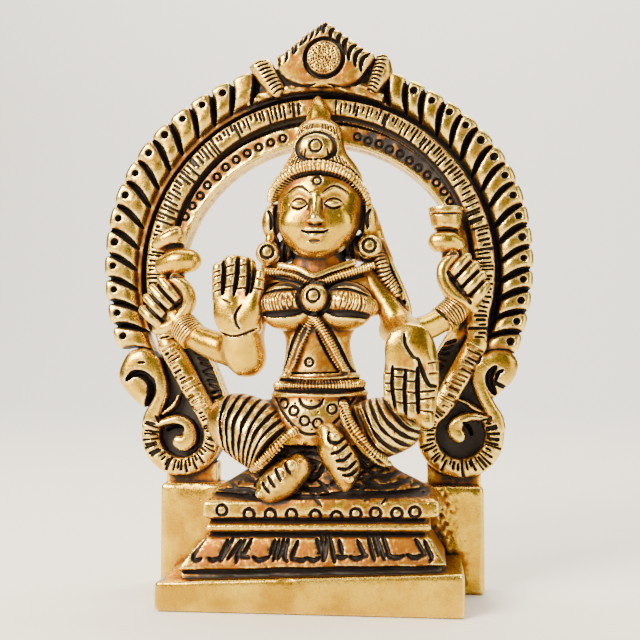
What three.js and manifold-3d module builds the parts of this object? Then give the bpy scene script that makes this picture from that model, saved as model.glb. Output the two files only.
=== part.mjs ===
// A small brass figure of Lakshmi with four arms, seated on a stepped plinth in front of an arch
// frame. Millimetres, +Z up, the figure faces -Y, and the origin lies under the middle of the box.
import * as THREE from "three";
import Module from "manifold-3d";
import { mergeVertices } from "three/addons/utils/BufferGeometryUtils.js";

// Driving dimensions. The frame and the figure are measured from the figure's own middle line,
// and MIDLINE_X brings the middle of the whole width to x = 0.
const MIDLINE_X = 1.4;
const HEIGHT = 128;
const FRONT_Y = 7.4;
const BACK_Y = 13.9;
const TROUGH_Y = 9.3;

const ARCH = { x: -1.4, z: 71, tip: 48.6, valley: 47.1, root: 40.4, horn: 117, swell: 1.2, swellAt: 61 };
const TONGUES = { left: 13, leftFrom: 27, leftTo: 108, right: 15, rightFrom: 29, rightTo: 110, sweep: 5.5 };
const BAND = { x: -0.6, z: 71, radius: 36.9, half: 2.7, front: 6.6 };
const OPENING = { x: -0.1, z: 67.5, radius: 32.6, end: 102 };
const SCROLL = { x: 31.2, middle: -0.4, z: 34.2, loop: 7.1, half: 2.15, left: 1.1, right: 0.98 };

const FINIAL = { x: 1.1, disc: 119, discRadius: 4 };
const BLOCK = { width: 72.2, front: 6.4, back: 15, height: 23.6 };
const RISER = { x: 29.6, half: 6 };
const SLAB = { left: -31.6, right: 31, front: -15, low: 6, high: 8.6 };
const PLINTH_BACK = 8;

const wasm = await Module();
wasm.setup();

const radians = THREE.MathUtils.degToRad;
const point = (x, y, z) => new THREE.Vector3(x, y, z);

// A closed geometry becomes a solid once its shared vertices are merged and it faces outwards.
function solid(geometry) {
  geometry.deleteAttribute("normal");
  geometry.deleteAttribute("uv");
  const merged = mergeVertices(geometry, 1e-4);
  const triVerts = new Uint32Array(merged.index.array);
  const vertProperties = new Float32Array(merged.attributes.position.array);
  if (signedVolume(vertProperties, triVerts) < 0) triVerts.reverse();
  return new wasm.Manifold(new wasm.Mesh({ numProp: 3, vertProperties, triVerts }));
}

function signedVolume(xyz, corners) {
  const [a, b, c] = [point(), point(), point()];
  let total = 0;
  for (let i = 0; i < corners.length; i += 3) {
    a.fromArray(xyz, 3 * corners[i]);
    b.fromArray(xyz, 3 * corners[i + 1]);
    c.fromArray(xyz, 3 * corners[i + 2]);
    total += a.dot(b.cross(c));
  }
  return total;
}

// A skin over a row of rings with equal counts of points, closed by a fan at each end.
function loft(rings) {
  const sides = rings[0].length;
  const middle = (ring) => ring.reduce((sum, p) => sum.add(p), point()).divideScalar(sides);
  const points = [...rings.flat(), middle(rings[0]), middle(rings.at(-1))];
  const firstCap = points.length - 2;
  const lastCap = points.length - 1;
  const lastRing = sides * (rings.length - 1);
  const corners = [];
  for (let i = 0; i < sides; i++) {
    const next = (i + 1) % sides;
    for (let row = 0; row < rings.length - 1; row++) {
      const low = sides * row;
      const high = low + sides;
      corners.push(low + i, low + next, high + next, low + i, high + next, high + i);
    }
    corners.push(firstCap, next, i, lastCap, lastRing + i, lastRing + next);
  }
  const geometry = new THREE.BufferGeometry().setFromPoints(points);
  geometry.setIndex(corners);
  return solid(geometry);
}

// Oval rings one above another: [z, x, y, half width, half depth].
function stack(levels, sides) {
  return loft(levels.map(([z, x, y, across, deep]) => {
    const turn = (i) => (2 * Math.PI * (i + 0.5)) / sides;
    return Array.from({ length: sides }, (_, i) =>
      point(x + across * Math.cos(turn(i)), y + deep * Math.sin(turn(i)), z));
  }));
}

// A round limb through [x, y, z, radius] knots. Its last end is rounded off where it shows.
function limb(knots, sides = 6, steps = 2, rounded = false) {
  const path = new THREE.CatmullRomCurve3(knots.map(([x, y, z]) => point(x, y, z)));
  const count = (knots.length - 1) * steps;
  const frames = path.computeFrenetFrames(count);
  const radius = (t) => {
    const place = t * (knots.length - 1);
    const i = Math.min(Math.floor(place), knots.length - 2);
    return THREE.MathUtils.lerp(knots[i][3], knots[i + 1][3], place - i);
  };
  const ring = (centre, i, r) => Array.from({ length: sides }, (_, k) => {
    const turn = (2 * Math.PI * k) / sides;
    return centre.clone()
      .addScaledVector(frames.normals[i], r * Math.cos(turn))
      .addScaledVector(frames.binormals[i], r * Math.sin(turn));
  });
  const rings = [];
  for (let i = 0; i <= count; i++) rings.push(ring(path.getPoint(i / count), i, radius(i / count)));
  if (rounded) {
    const last = knots.at(-1)[3];
    rings.push(ring(path.getPoint(1).addScaledVector(frames.tangents[count], 0.6 * last), count, 0.6 * last));
  }
  return loft(rings);
}

// An egg with its three half axes, leaning by an angle in the frontal plane.
function egg([x, y, z], [across, deep, tall], lean = 0, around = 7, rows = 5) {
  const geometry = new THREE.SphereGeometry(1, around, rows);
  geometry.rotateX(Math.PI / 2);
  geometry.scale(across, deep, tall);
  geometry.rotateY(radians(lean));
  geometry.translate(x, y, z);
  return solid(geometry);
}

// A frontal outline of [x, z] corners, from its front face back to another plane.
function plate(outline, front, back, bevel = 0, segments = 6) {
  const shape = Array.isArray(outline) ? new THREE.Shape(outline.map(([x, z]) => new THREE.Vector2(x, z))) : outline;
  const geometry = new THREE.ExtrudeGeometry(shape, {
    depth: back - front - bevel,
    bevelEnabled: bevel > 0,
    bevelThickness: bevel,
    bevelSize: bevel * 0.8,
    bevelOffset: -bevel * 0.8,
    bevelSegments: 1,
    curveSegments: segments,
  });
  geometry.rotateX(Math.PI / 2);
  geometry.translate(0, back, 0);
  return solid(geometry);
}

function box(low, high) {
  const geometry = new THREE.BoxGeometry(...high.map((value, i) => value - low[i]));
  geometry.translate(...high.map((value, i) => (value + low[i]) / 2));
  return solid(geometry);
}

// A round boss whose axis runs front to back.
function boss(x, z, radius, front, back, sides = 12, taller = 1) {
  const geometry = new THREE.CylinderGeometry(radius, radius, back - front, sides);
  geometry.scale(1, 1, taller);
  geometry.translate(x, (front + back) / 2, z);
  return solid(geometry);
}

const join = (pieces) => wasm.Manifold.union(pieces);
const polar = (circle, degreesFromTop, radius) => [
  circle.x + radius * Math.sin(radians(degreesFromTop)),
  circle.z + radius * Math.cos(radians(degreesFromTop)),
];

// An arc of [x, z] points on a circle, between two angles from its top.
const arc = (circle, radius, from, to, steps) => Array.from({ length: steps + 1 }, (_, i) =>
  polar(circle, THREE.MathUtils.lerp(from, to, i / steps), radius));

// The arch frame: a flat horseshoe plate that carries the raised tongues and bands.
function horseshoe() {
  const foot = SCROLL.x + ARCH.x;
  const rightFoot = [[foot + 7, 40], [foot - 11, 40], [OPENING.x + 23.6, 50], [OPENING.x + 27.4, 60]];
  const leftFoot = [[OPENING.x - 27.4, 60], [OPENING.x - 23.6, 50], [11 - foot, 40], [-foot - 7, 40]];
  return plate([
    ...arc(ARCH, ARCH.valley - 0.5, -ARCH.horn, ARCH.horn, 16),
    ...rightFoot,
    ...arc(OPENING, OPENING.radius, OPENING.end, -OPENING.end, 20),
    ...leftFoot,
  ], TROUGH_Y, BACK_Y);
}

// One tongue of the outer ring: round outside, and swept down towards its root. The ring swells
// a little at its shoulders.
function tongue(side, degrees, width) {
  const half = width * 0.43;
  const swell = ARCH.swell * Math.exp(-(((degrees - ARCH.swellAt) / 22) ** 2));
  const edge = (radius, offset) => {
    const depth = (ARCH.tip - radius) / (ARCH.tip - ARCH.root);
    const out = radius + swell * Math.max(0, 1 - 2 * depth);
    return polar(ARCH, side * (degrees + offset + TONGUES.sweep * depth ** 1.9), out);
  };
  const outline = [
    edge(ARCH.root, 0),
    edge(43, -half * 0.9),
    edge(ARCH.valley, -half),
    edge(ARCH.tip, -half * 0.45),
    edge(ARCH.tip, half * 0.45),
    edge(ARCH.valley, half),
    edge(43, half * 0.9),
  ];
  return plate(side > 0 ? outline.reverse() : outline, FRONT_Y, BACK_Y - 0.2);
}

function tongues() {
  const pieces = [];
  for (const [side, count, from, to] of [
    [-1, TONGUES.left, TONGUES.leftFrom, TONGUES.leftTo],
    [1, TONGUES.right, TONGUES.rightFrom, TONGUES.rightTo],
  ]) {
    const pitch = (to - from) / (count - 1);
    for (let i = -1; i < count; i++) pieces.push(tongue(side, from + pitch * i, pitch));
  }
  return join(pieces);
}

// A raised strap that follows [x, z, half width] knots, with its edges beaten round.
function strap(knots, front, back, edge) {
  return loft(knots.map(([x, z, half], i) => {
    const before = knots[Math.max(i - 1, 0)];
    const after = knots[Math.min(i + 1, knots.length - 1)];
    const along = new THREE.Vector2(after[0] - before[0], after[1] - before[1]).normalize();
    return [[-1, back], [-1, front + edge], [-0.6, front], [0.6, front], [1, front + edge], [1, back]]
      .map(([across, y]) => point(x + along.y * across * half, y, z - along.x * across * half));
  }));
}

// The ribbed band runs round the arch, down inside each scroll and round under it.
function halfBand(side) {
  const hub = side * SCROLL.x + SCROLL.middle;
  const upper = arc(BAND, BAND.radius, side * 11, side * 110, 9);
  const loop = arc({ x: hub, z: SCROLL.z }, SCROLL.loop, side * -95, side * -285, 8);
  return [
    ...upper.map((at) => [...at, BAND.half]),
    [hub - side * 4.6, 46.5, BAND.half],
    [hub - side * 6.6, 40, SCROLL.half],
    ...loop.map((at) => [...at, SCROLL.half]),
  ];
}

function band() {
  const crown = [...polar(BAND, 0, BAND.radius), BAND.half];
  return strap([...halfBand(-1).reverse(), crown, ...halfBand(1)], BAND.front, BACK_Y, 1.7);
}

// A scroll: a spiral boss, an S-shaped neck and a knob that curls outwards, on a sunk ground.
function scroll(side) {
  const hub = side * SCROLL.x + SCROLL.middle;
  const size = side < 0 ? SCROLL.left : SCROLL.right;
  const at = ([dx, dz, half = 0]) => [hub + side * dx * size, SCROLL.z + dz * size, half * size];
  const neck = [[0, 3, 1], [3.4, 3, 1], [5.4, 4.8, 1.2], [4.6, 8.6, 1.2], [4.4, 12.4, 1.5], [6, 15.8, 2.2],
    [9.2, 16.4, 2.8], [11.6, 14.2, 2.6], [11.2, 10.4, 2.1], [9.4, 7.2, 0.7]].map(at);
  const ground = [[-7, 0], [-4, -6], [4, -6], [7.4, 0], [6.4, 6], [8, 12], [9, 20.5], [2, 23], [-6, 24], [-8, 12]].map(at);
  const ball = egg([hub, FRONT_Y + 2, SCROLL.z], [3.8, 2.6, 3.8]);
  return join([plate(ground, TROUGH_Y + 0.5, BACK_Y), strap(neck, FRONT_Y - 0.4, BACK_Y - 0.3, 1), ball]);
}

// The pointed leaf on top, with its stippled disc, the two ribbed cuffs and the ledge below.
function finial() {
  const { x } = FINIAL;
  const leaf = new THREE.Shape();
  leaf.moveTo(x, HEIGHT);
  leaf.quadraticCurveTo(x + 3, 124.6, x + 12, 119.8);
  leaf.quadraticCurveTo(x + 8, 113.4, x, 113);
  leaf.quadraticCurveTo(x - 8, 113.4, x - 11.5, 119.4);
  leaf.quadraticCurveTo(x - 3.5, 125, x, HEIGHT);
  const cuff = (dx, z, lean) => egg([x + dx, FRONT_Y + 2.6, z], [3.4, 3.6, 5], lean, 7, 5);
  return join([
    plate(leaf, FRONT_Y - 1.2, BACK_Y - 1, 1, 3),
    boss(x, FINIAL.disc, FINIAL.discRadius, FRONT_Y - 1.9, FRONT_Y + 2, 12),
    cuff(-15, 115.6, -50),
    cuff(12.6, 116.6, 32),
    box([x - 17, FRONT_Y + 0.6, 108.6], [x + 17, BACK_Y, 113.4]),
  ]);
}

// The plinth: a slab whose top rises to one side, a band of petals, a thin roll, a row of ringed
// beads, and the rough cushion that the figure sits on. The block closes it behind.
function slopedLayer(levels) {
  return loft(levels.map(([z, left, right, front, slope]) => {
    const at = (x, y) => point(x, y, z + slope * (x - left));
    return [at(left, front + 1), at(left + 1, front), at(right - 1, front), at(right, front + 1),
      at(right, PLINTH_BACK), at(left, PLINTH_BACK)];
  }));
}

function plinth() {
  const slabSlope = (SLAB.high - SLAB.low) / (SLAB.right - SLAB.left);
  const slab = slopedLayer([
    [0, SLAB.left + 0.5, SLAB.right - 0.5, SLAB.front + 0.5, 0],
    [0.6, SLAB.left, SLAB.right, SLAB.front, 0],
    [SLAB.low - 0.9, SLAB.left, SLAB.right, SLAB.front, slabSlope],
    [SLAB.low, SLAB.left + 0.9, SLAB.right - 0.9, SLAB.front + 0.9, slabSlope],
  ]);
  const steps = slopedLayer([
    [5, -26.6, 26.4, -12.6, 0.04],
    [7.7, -26.6, 26.4, -12.6, 0.04],
    [8.6, -27, 27.6, -13.4, 0.035],
    [14.6, -22, 24.4, -11.7, 0.017],
    [14.7, -21, 23.6, -10.9, 0.017],
    [15.6, -21, 23.6, -10.9, 0.017],
    [15.8, -21.6, 24.4, -11.9, 0.017],
    [17.4, -21.6, 24.4, -11.9, 0.017],
    [17.6, -21, 23.6, -10.9, 0.017],
    [18.4, -21, 23.6, -10.9, 0.017],
    [18.6, -22.2, 26, -11.8, 0.017],
    [21.6, -22.2, 26, -11.6, 0.012],
    [22.2, -21.4, 25, -10.8, 0.012],
  ]);
  const cushion = stack([
    [20, 2, -2, 25, 10],
    [23, 2, -2, 24, 9.6],
    [25.4, 2, -1.6, 20.5, 8.6],
    [28.4, 1.4, -1.2, 15.5, 7.8],
    [33, 1, -1, 12, 7],
  ], 12);
  const petals = [-24, -13.2, -2, 8.6, 20.6].map((x, i) => {
    const lift = 0.025 * (x + 24);
    const tilt = i - 2;
    const outline = [[x - 4.2 + 0.25 * tilt, 9.4 + lift], [x + 4.2 + 0.25 * tilt, 9.4 + lift],
      [x + 3.2, 14 + lift * 0.6], [x - 3.2, 14 + lift * 0.6]];
    return plate(outline, -13.7, -9);
  });
  return join([slab, steps, cushion, ...petals]);
}

function block() {
  const round = 1.1;
  const ring = (z, inset) => {
    const half = BLOCK.width / 2 - inset;
    const [front, back] = [BLOCK.front + inset, BLOCK.back - inset];
    return [point(-half + round, front, z), point(half - round, front, z), point(half, front + round, z),
      point(half, back - round, z), point(half - round, back, z), point(-half + round, back, z),
      point(-half, back - round, z), point(-half, front + round, z)];
  };
  const body = loft([ring(0, round), ring(round, 0), ring(BLOCK.height - round, 0), ring(BLOCK.height, round)]);
  const riser = (side) => box([side * RISER.x - RISER.half, FRONT_Y + 0.8, 20], [side * RISER.x + RISER.half, BACK_Y, 29]);
  return join([body, riser(-1), riser(1)]);
}

// The figure. Her own left is the viewer's right, and "near" names below are the viewer's sides.
function torso() {
  return join([
    stack([
      [33, 0.6, -3.4, 11, 6.6],
      [40, 0.9, -3.6, 11.4, 6.6],
      [44, 1.1, -3.6, 9.2, 5.8],
      [44.4, 1.1, -3.7, 9.9, 6.6],
      [46.8, 1.1, -3.7, 9.1, 6.2],
      [47.4, 1.1, -3.6, 8, 5.3],
      [54.5, 0.7, -3.4, 6.9, 4.8],
      [58, 0.8, -3.4, 8.4, 5],
      [63, 0.9, -3.4, 11.2, 5.4],
      [67, 1, -3, 13, 5.2],
      [69.6, 1, -2.4, 12.4, 4.4],
      [71.4, 1, -2.4, 7, 3.8],
    ], 10),
    stack([[66, 1, -2.6, 5.2, 4.2], [76, 1, -2.6, 4.6, 4.2]], 7),
    egg([-5.4, -7.6, 62.3], [5.7, 3.8, 5.2]),
    egg([7, -7.6, 62.3], [5.7, 3.8, 5.2]),
    limb([[-10.8, -5.6, 62.6, 2], [-5.6, -10, 62.9, 2.3], [0.7, -10.2, 63.8, 1.6], [7, -10, 62.9, 2.3], [12.4, -5.6, 62.6, 2]]),
    boss(0.7, 64, 2.8, -13.2, -8, 10),
  ]);
}

function dress() {
  return join([
    limb([[-10.6, -5, 70.4, 0.9], [-5, -7.6, 69, 0.9], [0.8, -8.9, 67.2, 1], [7, -7.6, 69.4, 0.9], [12.6, -5, 71.4, 0.9]], 4, 1),
    limb([[-10.6, -6.2, 67.6, 1], [-5, -9.2, 67.4, 1], [0.8, -10, 65.8, 1], [7, -9.2, 67.8, 1], [12.6, -6.2, 69, 1]], 4, 1),
    limb([[0.3, -9.4, 60.6, 1.3], [-2.6, -8.4, 54, 1.2], [-5.2, -8.2, 48, 1.1]], 4, 1),
    limb([[0.3, -9.4, 60.6, 1.3], [3.6, -8.4, 55, 1.3], [7.2, -8.2, 48, 1.2]], 4, 1),
    egg([0.6, -8.4, 38.4], [8, 3.4, 6.6], 0, 9),
  ]);
}

function head() {
  const face = stack([
    [72.6, 1, -6.6, 2.6, 2.6],
    [73.6, 1, -6, 5, 4.6],
    [76, 1, -4.6, 7.4, 6.4],
    [79.5, 1, -3.6, 8.9, 7.4],
    [84, 1, -3, 9.4, 7.9],
    [88, 0.9, -2.6, 9.6, 8],
    [91, 0.9, -2.2, 9, 7.4],
  ], 10);
  const cap = stack([
    [87, 0.8, -2, 10, 8],
    [90, 0.8, -1.8, 9.8, 7.9],
    [93, 0.8, -1.2, 8.4, 7],
    [97, 0.8, 0, 5, 5.4],
    [100.4, 0.6, 1.2, 4.9, 5.2],
    [103.4, 0.3, 2.4, 3.7, 4.4],
    [107.6, -0.1, 4.6, 2.5, 3.6],
    [110.4, -0.3, 6.2, 0.9, 2.4],
  ], 10);
  const brim = limb([[-9.4, -4.6, 86.6, 1.1], [-6.4, -8.4, 89.6, 1.3], [0.8, -10.2, 91.4, 1.4],
    [8, -8.4, 89.6, 1.3], [11, -4.6, 86.6, 1.1]], 5, 1);
  const nose = loft([[86.5, 0.9, -10.6], [79.8, 1.9, -12.6], [78.8, 1.7, -11.4]].map(([z, half, front]) =>
    [point(1 - half, -8, z), point(1 - half * 0.4, front, z), point(1 + half * 0.4, front, z), point(1 + half, -8, z)]));
  const sides = [-1, 1].flatMap((side) => [
    egg([1 + side * 10.4, -2.4, 81.2], [2.5, 2.4, 3.6], side * -8, 7, 5),
    boss(1 + side * 10.9, 74.4, 2.6, -5.6, -2, 8),
    limb([[1 + side * 10.6, -2.4, 79, 1.2], [1 + side * 10.6, -2.6, 75, 1.2]], 5, 1),
  ]);
  return join([
    face,
    cap,
    brim,
    nose,
    boss(0.6, 96.2, 3.9, -8, 0, 12, 0.78),
    ...sides,
    limb([[12, -0.6, 78, 2.2], [14.6, -0.6, 72.5, 2.9], [18.4, -0.6, 64.6, 2.4]]),
    limb([[13.6, -3.6, 72, 1.3], [16.4, -3.4, 67.6, 1.5], [19.6, -2.8, 63.6, 1.2]], 5),
  ]);
}

// A hand seen flat on: a palm, four fingers and a thumb, each finger a straight round bar.
function flatHand({ palm, fingers, thumb, y }) {
  const bars = fingers.map(([x, z, tipX, tipZ, r]) => limb([[x, y, z, r], [tipX, y - 0.3, tipZ, r * 0.85]], 5, 1, true));
  const [tx, tz, tipX, tipZ] = thumb;
  return join([palm, ...bars, limb([[tx, y, tz, 1.7], [tipX, y - 1, tipZ, 1.15]], 5, 1, true)]);
}

function raisedHand() {
  const y = -7.6;
  return flatHand({
    y,
    palm: egg([-15.4, y + 0.6, 60.6], [5.8, 2.4, 5.8]),
    fingers: [[-19.6, 63, -19.8, 69.4, 1.2], [-17, 64, -17, 71.6, 1.3], [-14.3, 64, -14.3, 71.8, 1.3],
      [-11.9, 64, -12.1, 70.6, 1.1]],
    thumb: [-11.6, 60.5, -10.6, 68.8],
  });
}

function loweredHand() {
  const y = -12.4;
  return flatHand({
    y,
    palm: egg([20.6, y + 1, 52.4], [5.9, 2.6, 6.2]),
    fingers: [[16.2, 49, 16.3, 44.4, 1.1], [18.6, 49, 19.2, 42, 1.2], [21, 49, 21.8, 41, 1.2],
      [23.2, 46, 23.6, 38.6, 1.5]],
    thumb: [24.6, 54, 24.8, 46],
  });
}

function arms() {
  return join([
    limb([[-10.8, -2.6, 67.4, 3], [-13.6, -3.4, 60, 3], [-15.4, -4.4, 53.4, 4.6]]),
    egg([-15.4, -4.8, 52.6], [5.2, 4.2, 5.2]),
    limb([[-15.4, -5.4, 54, 4.2], [-15.4, -7, 58.6, 3.4]], 6, 1),
    limb([[-16, -2.6, 52.4, 3.6], [-22, -0.6, 54, 3.3], [-27.4, 1.6, 56.4, 2.6], [-31, 3.2, 59.4, 2.7]]),
    limb([[-28.2, 1.8, 56.8, 3.4], [-30.2, 2.8, 58.8, 3.4]], 6, 1),
    limb([[12.6, -2.6, 68.6, 2.9], [15, -3.4, 62.6, 3], [18.4, -5, 57.4, 3.4]]),
    limb([[18.4, -5, 57.6, 3.2], [19.8, -9.4, 56.4, 3.2], [20.2, -11.4, 55.4, 3.4]], 6, 1),
    limb([[16.6, -3, 57.4, 2.9], [22, -1, 57.6, 2.6], [27.2, 1.6, 60, 2.5], [30, 3.2, 62.6, 2.8]]),
    limb([[27.8, 1.8, 60.4, 3.2], [29.6, 3, 62.4, 3.2]], 6, 1),
  ]);
}

// A rear hand closed round a stem, with the flower standing on top of it.
function gripHand(side) {
  const x = side < 0 ? -33.4 : 31.6;
  const z = side < 0 ? 64.2 : 68;
  const palm = egg([x, 4, z], [5.2, 3.4, 6.4], side * -14);
  const fingers = [-4.2, -1.5, 1.2, 3.8].map((along) => {
    const fx = x + side * (1.2 - along * 0.55);
    const fz = z + 0.6 + along * 0.8;
    return limb([[fx + side * 2.6, 2, fz + 2.1, 1.15], [fx - side * 1.8, 1.2, fz - 1.9, 1.15]], 4, 1, true);
  });
  return join([palm, ...fingers]);
}

function flowers() {
  return join([
    egg([-31.8, 3.8, 73.4], [5.5, 3.2, 2.9], -6),
    limb([[-36.6, 5, 76.8, 1.9], [-31.2, 5, 79.6, 2.3]], 7, 1, true),
    limb([[-32.6, 5.2, 68, 2.2], [-32.2, 5.2, 78, 2.2]], 7, 1),
    stack([[79.9, 28.2, 4.4, 3.2, 2.8], [82, 28.2, 4.4, 3.5, 3], [84.6, 28.2, 4.4, 4, 3.4]], 9),
    egg([28.4, 4.2, 77.2], [4.3, 3.2, 2.6]),
    stack([[70, 30, 5.2, 3, 2.4], [81, 28.2, 5.2, 2.6, 2.2]], 7),
  ]);
}

// Each leg is gathered into rings of cloth from the knee to the cuff.
function gatheredLeg(knee, ankle, bulge, small, folds) {
  const rings = [];
  for (let i = 0; i <= folds * 2; i++) {
    const t = i / (folds * 2);
    const swell = THREE.MathUtils.lerp(bulge, small, t) * Math.sqrt(1 - 0.62 * (1 - t) ** 6);
    const r = swell * (i % 2 ? 1 : 0.9);
    rings.push([...knee.map((value, axis) => THREE.MathUtils.lerp(value, ankle[axis], t)), r]);
  }
  return limb(rings, 7, 1);
}

function legs() {
  return join([
    limb([[-2, -3.4, 39, 6], [-9, -4, 39, 6.2], [-15.4, -4, 38.6, 6.2]], 8, 1),
    limb([[4, -3.4, 38.6, 6], [11, -4, 37.4, 6], [15.6, -4, 36.4, 5.6]], 8, 1),
    gatheredLeg([-19.6, -4, 39.4], [-6.6, -9.6, 32.4], 7.4, 5.4, 5),
    gatheredLeg([19.6, -4, 36], [8.2, -9, 34.4], 7, 5.6, 5),
    limb([[-11.8, -11.6, 29, 1.3], [-7.4, -13.2, 32.2, 1.4], [-2.8, -11.8, 36, 1.2]], 5, 1),
    limb([[7.2, -11, 40, 1.3], [10.4, -13, 33.8, 1.4], [15.4, -11.4, 28.4, 1.2]], 5, 1),
  ]);
}

function foot(heel, ball, tip, half) {
  const rings = [[heel, 0.72], [ball, 1], [tip, 0.8]].map(([centre, k]) => [...centre, half * k]);
  return limb(rings, 7, 1);
}

function feet() {
  return join([
    foot([-2.6, -10.6, 29.4], [-5.8, -11, 27.2], [-8.8, -11.6, 25], 3.8),
    foot([3.4, -10.8, 35.4], [6, -11.2, 31], [7, -11.6, 27], 3.5),
  ]);
}

const casting = join([
  horseshoe(), tongues(), band(), scroll(-1), scroll(1), finial(), plinth(), block(),
  torso(), dress(), head(), raisedHand(), loweredHand(), arms(), gripHand(-1), gripHand(1), flowers(),
  legs(), feet(),
]);

function figureMesh() {
  const { vertProperties, triVerts } = casting.getMesh();
  const geometry = new THREE.BufferGeometry();
  geometry.setAttribute("position", new THREE.BufferAttribute(vertProperties, 3));
  geometry.setIndex(new THREE.BufferAttribute(triVerts, 1));
  geometry.computeVertexNormals();
  const brass = new THREE.MeshStandardMaterial({ color: 0xc9a557, roughness: 0.38, metalness: 0.9 });
  const mesh = new THREE.Mesh(geometry, brass);
  mesh.name = "lakshmi_figure_with_frame";
  mesh.position.x = MIDLINE_X;
  return mesh;
}

const group = new THREE.Group();
group.add(figureMesh());

export default group;
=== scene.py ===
import math

import bpy
import numpy as np
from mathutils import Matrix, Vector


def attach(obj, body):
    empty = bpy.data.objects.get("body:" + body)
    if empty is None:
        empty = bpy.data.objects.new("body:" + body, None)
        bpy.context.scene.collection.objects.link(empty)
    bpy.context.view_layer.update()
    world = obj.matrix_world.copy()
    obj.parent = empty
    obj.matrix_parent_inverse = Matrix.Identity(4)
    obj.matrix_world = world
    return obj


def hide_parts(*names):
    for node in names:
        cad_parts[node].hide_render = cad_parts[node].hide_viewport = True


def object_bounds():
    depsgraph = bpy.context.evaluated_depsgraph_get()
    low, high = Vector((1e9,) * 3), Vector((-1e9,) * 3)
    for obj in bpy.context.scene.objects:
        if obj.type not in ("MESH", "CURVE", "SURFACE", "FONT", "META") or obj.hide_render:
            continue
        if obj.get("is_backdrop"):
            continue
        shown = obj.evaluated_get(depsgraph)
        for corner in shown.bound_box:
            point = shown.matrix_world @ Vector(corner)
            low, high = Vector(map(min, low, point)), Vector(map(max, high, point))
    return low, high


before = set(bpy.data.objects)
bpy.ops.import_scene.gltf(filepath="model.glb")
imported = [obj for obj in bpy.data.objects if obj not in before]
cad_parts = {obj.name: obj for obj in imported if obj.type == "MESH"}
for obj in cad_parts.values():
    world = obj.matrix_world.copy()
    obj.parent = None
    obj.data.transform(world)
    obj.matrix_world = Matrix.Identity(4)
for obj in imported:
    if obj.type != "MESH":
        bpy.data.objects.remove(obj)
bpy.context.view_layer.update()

import openvdb
from mathutils import Vector

# The ring of the arch
# The horseshoe behind the figure, of cast brass, one with the rest of the casting. The front was
# carved in the wax before casting: tongues with drilled dots, a ribbed band, a strip of punched
# rings. All sizes are millimetres, measured from the figure's own middle line.
MIDLINE = 1.4
BACK = 13.9
FAR = 2.4
ARCH = {"x": -1.4, "z": 71.0, "tip": 48.6, "swell": 1.2, "swell_at": 61.0}
TONGUES = [(-1, 13, 27.0, 108.0), (1, 15, 29.0, 110.0)]
SWEEP = 5.6
OPENING = {"x": -0.1, "z": 67.5, "radius": 32.6}
BAND = {"x": -0.6, "z": 71.0, "radius": 37.0, "half": 2.6, "loop_half": 2.15}
LEVEL = {"ground": 4.3, "tongue": 6.5, "band": 7.3, "strip": 5.7, "leaf": 8.0, "ledge": 5.9}

chance = np.random.default_rng(11)


def smooth_path(points, steps=8):
    """Points along a smooth line through the given ones."""
    p = np.array(points, float)
    p = np.vstack([2 * p[0] - p[1], p, 2 * p[-1] - p[-2]])
    t = np.linspace(0, 1, steps, endpoint=False)[:, None]
    run = []
    for a, b, c, d in zip(p, p[1:], p[2:], p[3:]):
        run.append(0.5 * (2 * b + (c - a) * t + (2 * a - 5 * b + 4 * c - d) * t**2
                          + (3 * b - a - 3 * c + d) * t**3))
    return np.vstack(run + [p[-2:-1]])


def closed_path(points, steps):
    """Points along a smooth outline that ends where it starts."""
    return smooth_path(points + points[:1], steps)[:-1]


def follow(x, z, path):
    """Distance from a path, the length along it of the nearest point, and the side: + on its left."""
    shape = np.broadcast_shapes(x.shape, z.shape)
    best = np.full(shape, 1e6, np.float32)
    where = np.zeros(shape, np.float32)
    side = np.ones(shape, np.float32)
    start = 0.0
    for (ax, az), (bx, bz) in zip(path[:-1], path[1:]):
        dx, dz = bx - ax, bz - az
        length = math.hypot(dx, dz)
        if length < 1e-6:
            continue
        t = np.clip(((x - ax) * dx + (z - az) * dz) / length**2, 0, 1)
        gap = np.hypot(x - ax - t * dx, z - az - t * dz)
        near = gap < best
        best = np.where(near, gap, best)
        where = np.where(near, start + t * length, where)
        side = np.where(near, np.sign((z - az) * dx - (x - ax) * dz), side)
        start += length
    return best, where, side


def arc(x, z, radius, start, end, count):
    """Points on a circle, by degrees from its top, clockwise as seen from the front."""
    turns = np.radians(np.linspace(start, end, count))
    return [(x + radius * math.sin(t), z + radius * math.cos(t)) for t in turns]


def inside(x, z, corners):
    """Signed distance from an outline of corners, negative inside it."""
    corners = [tuple(corner) for corner in corners]
    gap = follow(x, z, corners + corners[:1])[0]
    odd = np.zeros(gap.shape, bool)
    for (ax, az), (bx, bz) in zip(corners, corners[1:] + corners[:1]):
        odd ^= ((az > z) != (bz > z)) & (x < (bx - ax) * (z - az) / (bz - az + 1e-12) + ax)
    return np.where(odd, -gap, gap)


def uneven(x, z, size, seed):
    """Smooth unevenness of hand work, about -1 to 1, over patches of a size in mm."""
    pick = np.random.default_rng(seed)
    total = 0
    for _ in range(7):
        turn, phase = pick.uniform(0, 2 * math.pi, 2)
        wave = 2 * math.pi / (size * pick.uniform(0.7, 1.6))
        total = total + np.sin(wave * (x * math.cos(turn) + z * math.sin(turn)) + phase)
    return total / 4


def tool_mark(off, width, depth):
    """How deep a round tool cuts at a distance from the middle of its line."""
    return depth * np.clip(1.15 - (off / (width / 2)) ** 2, 0, 1)


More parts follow.
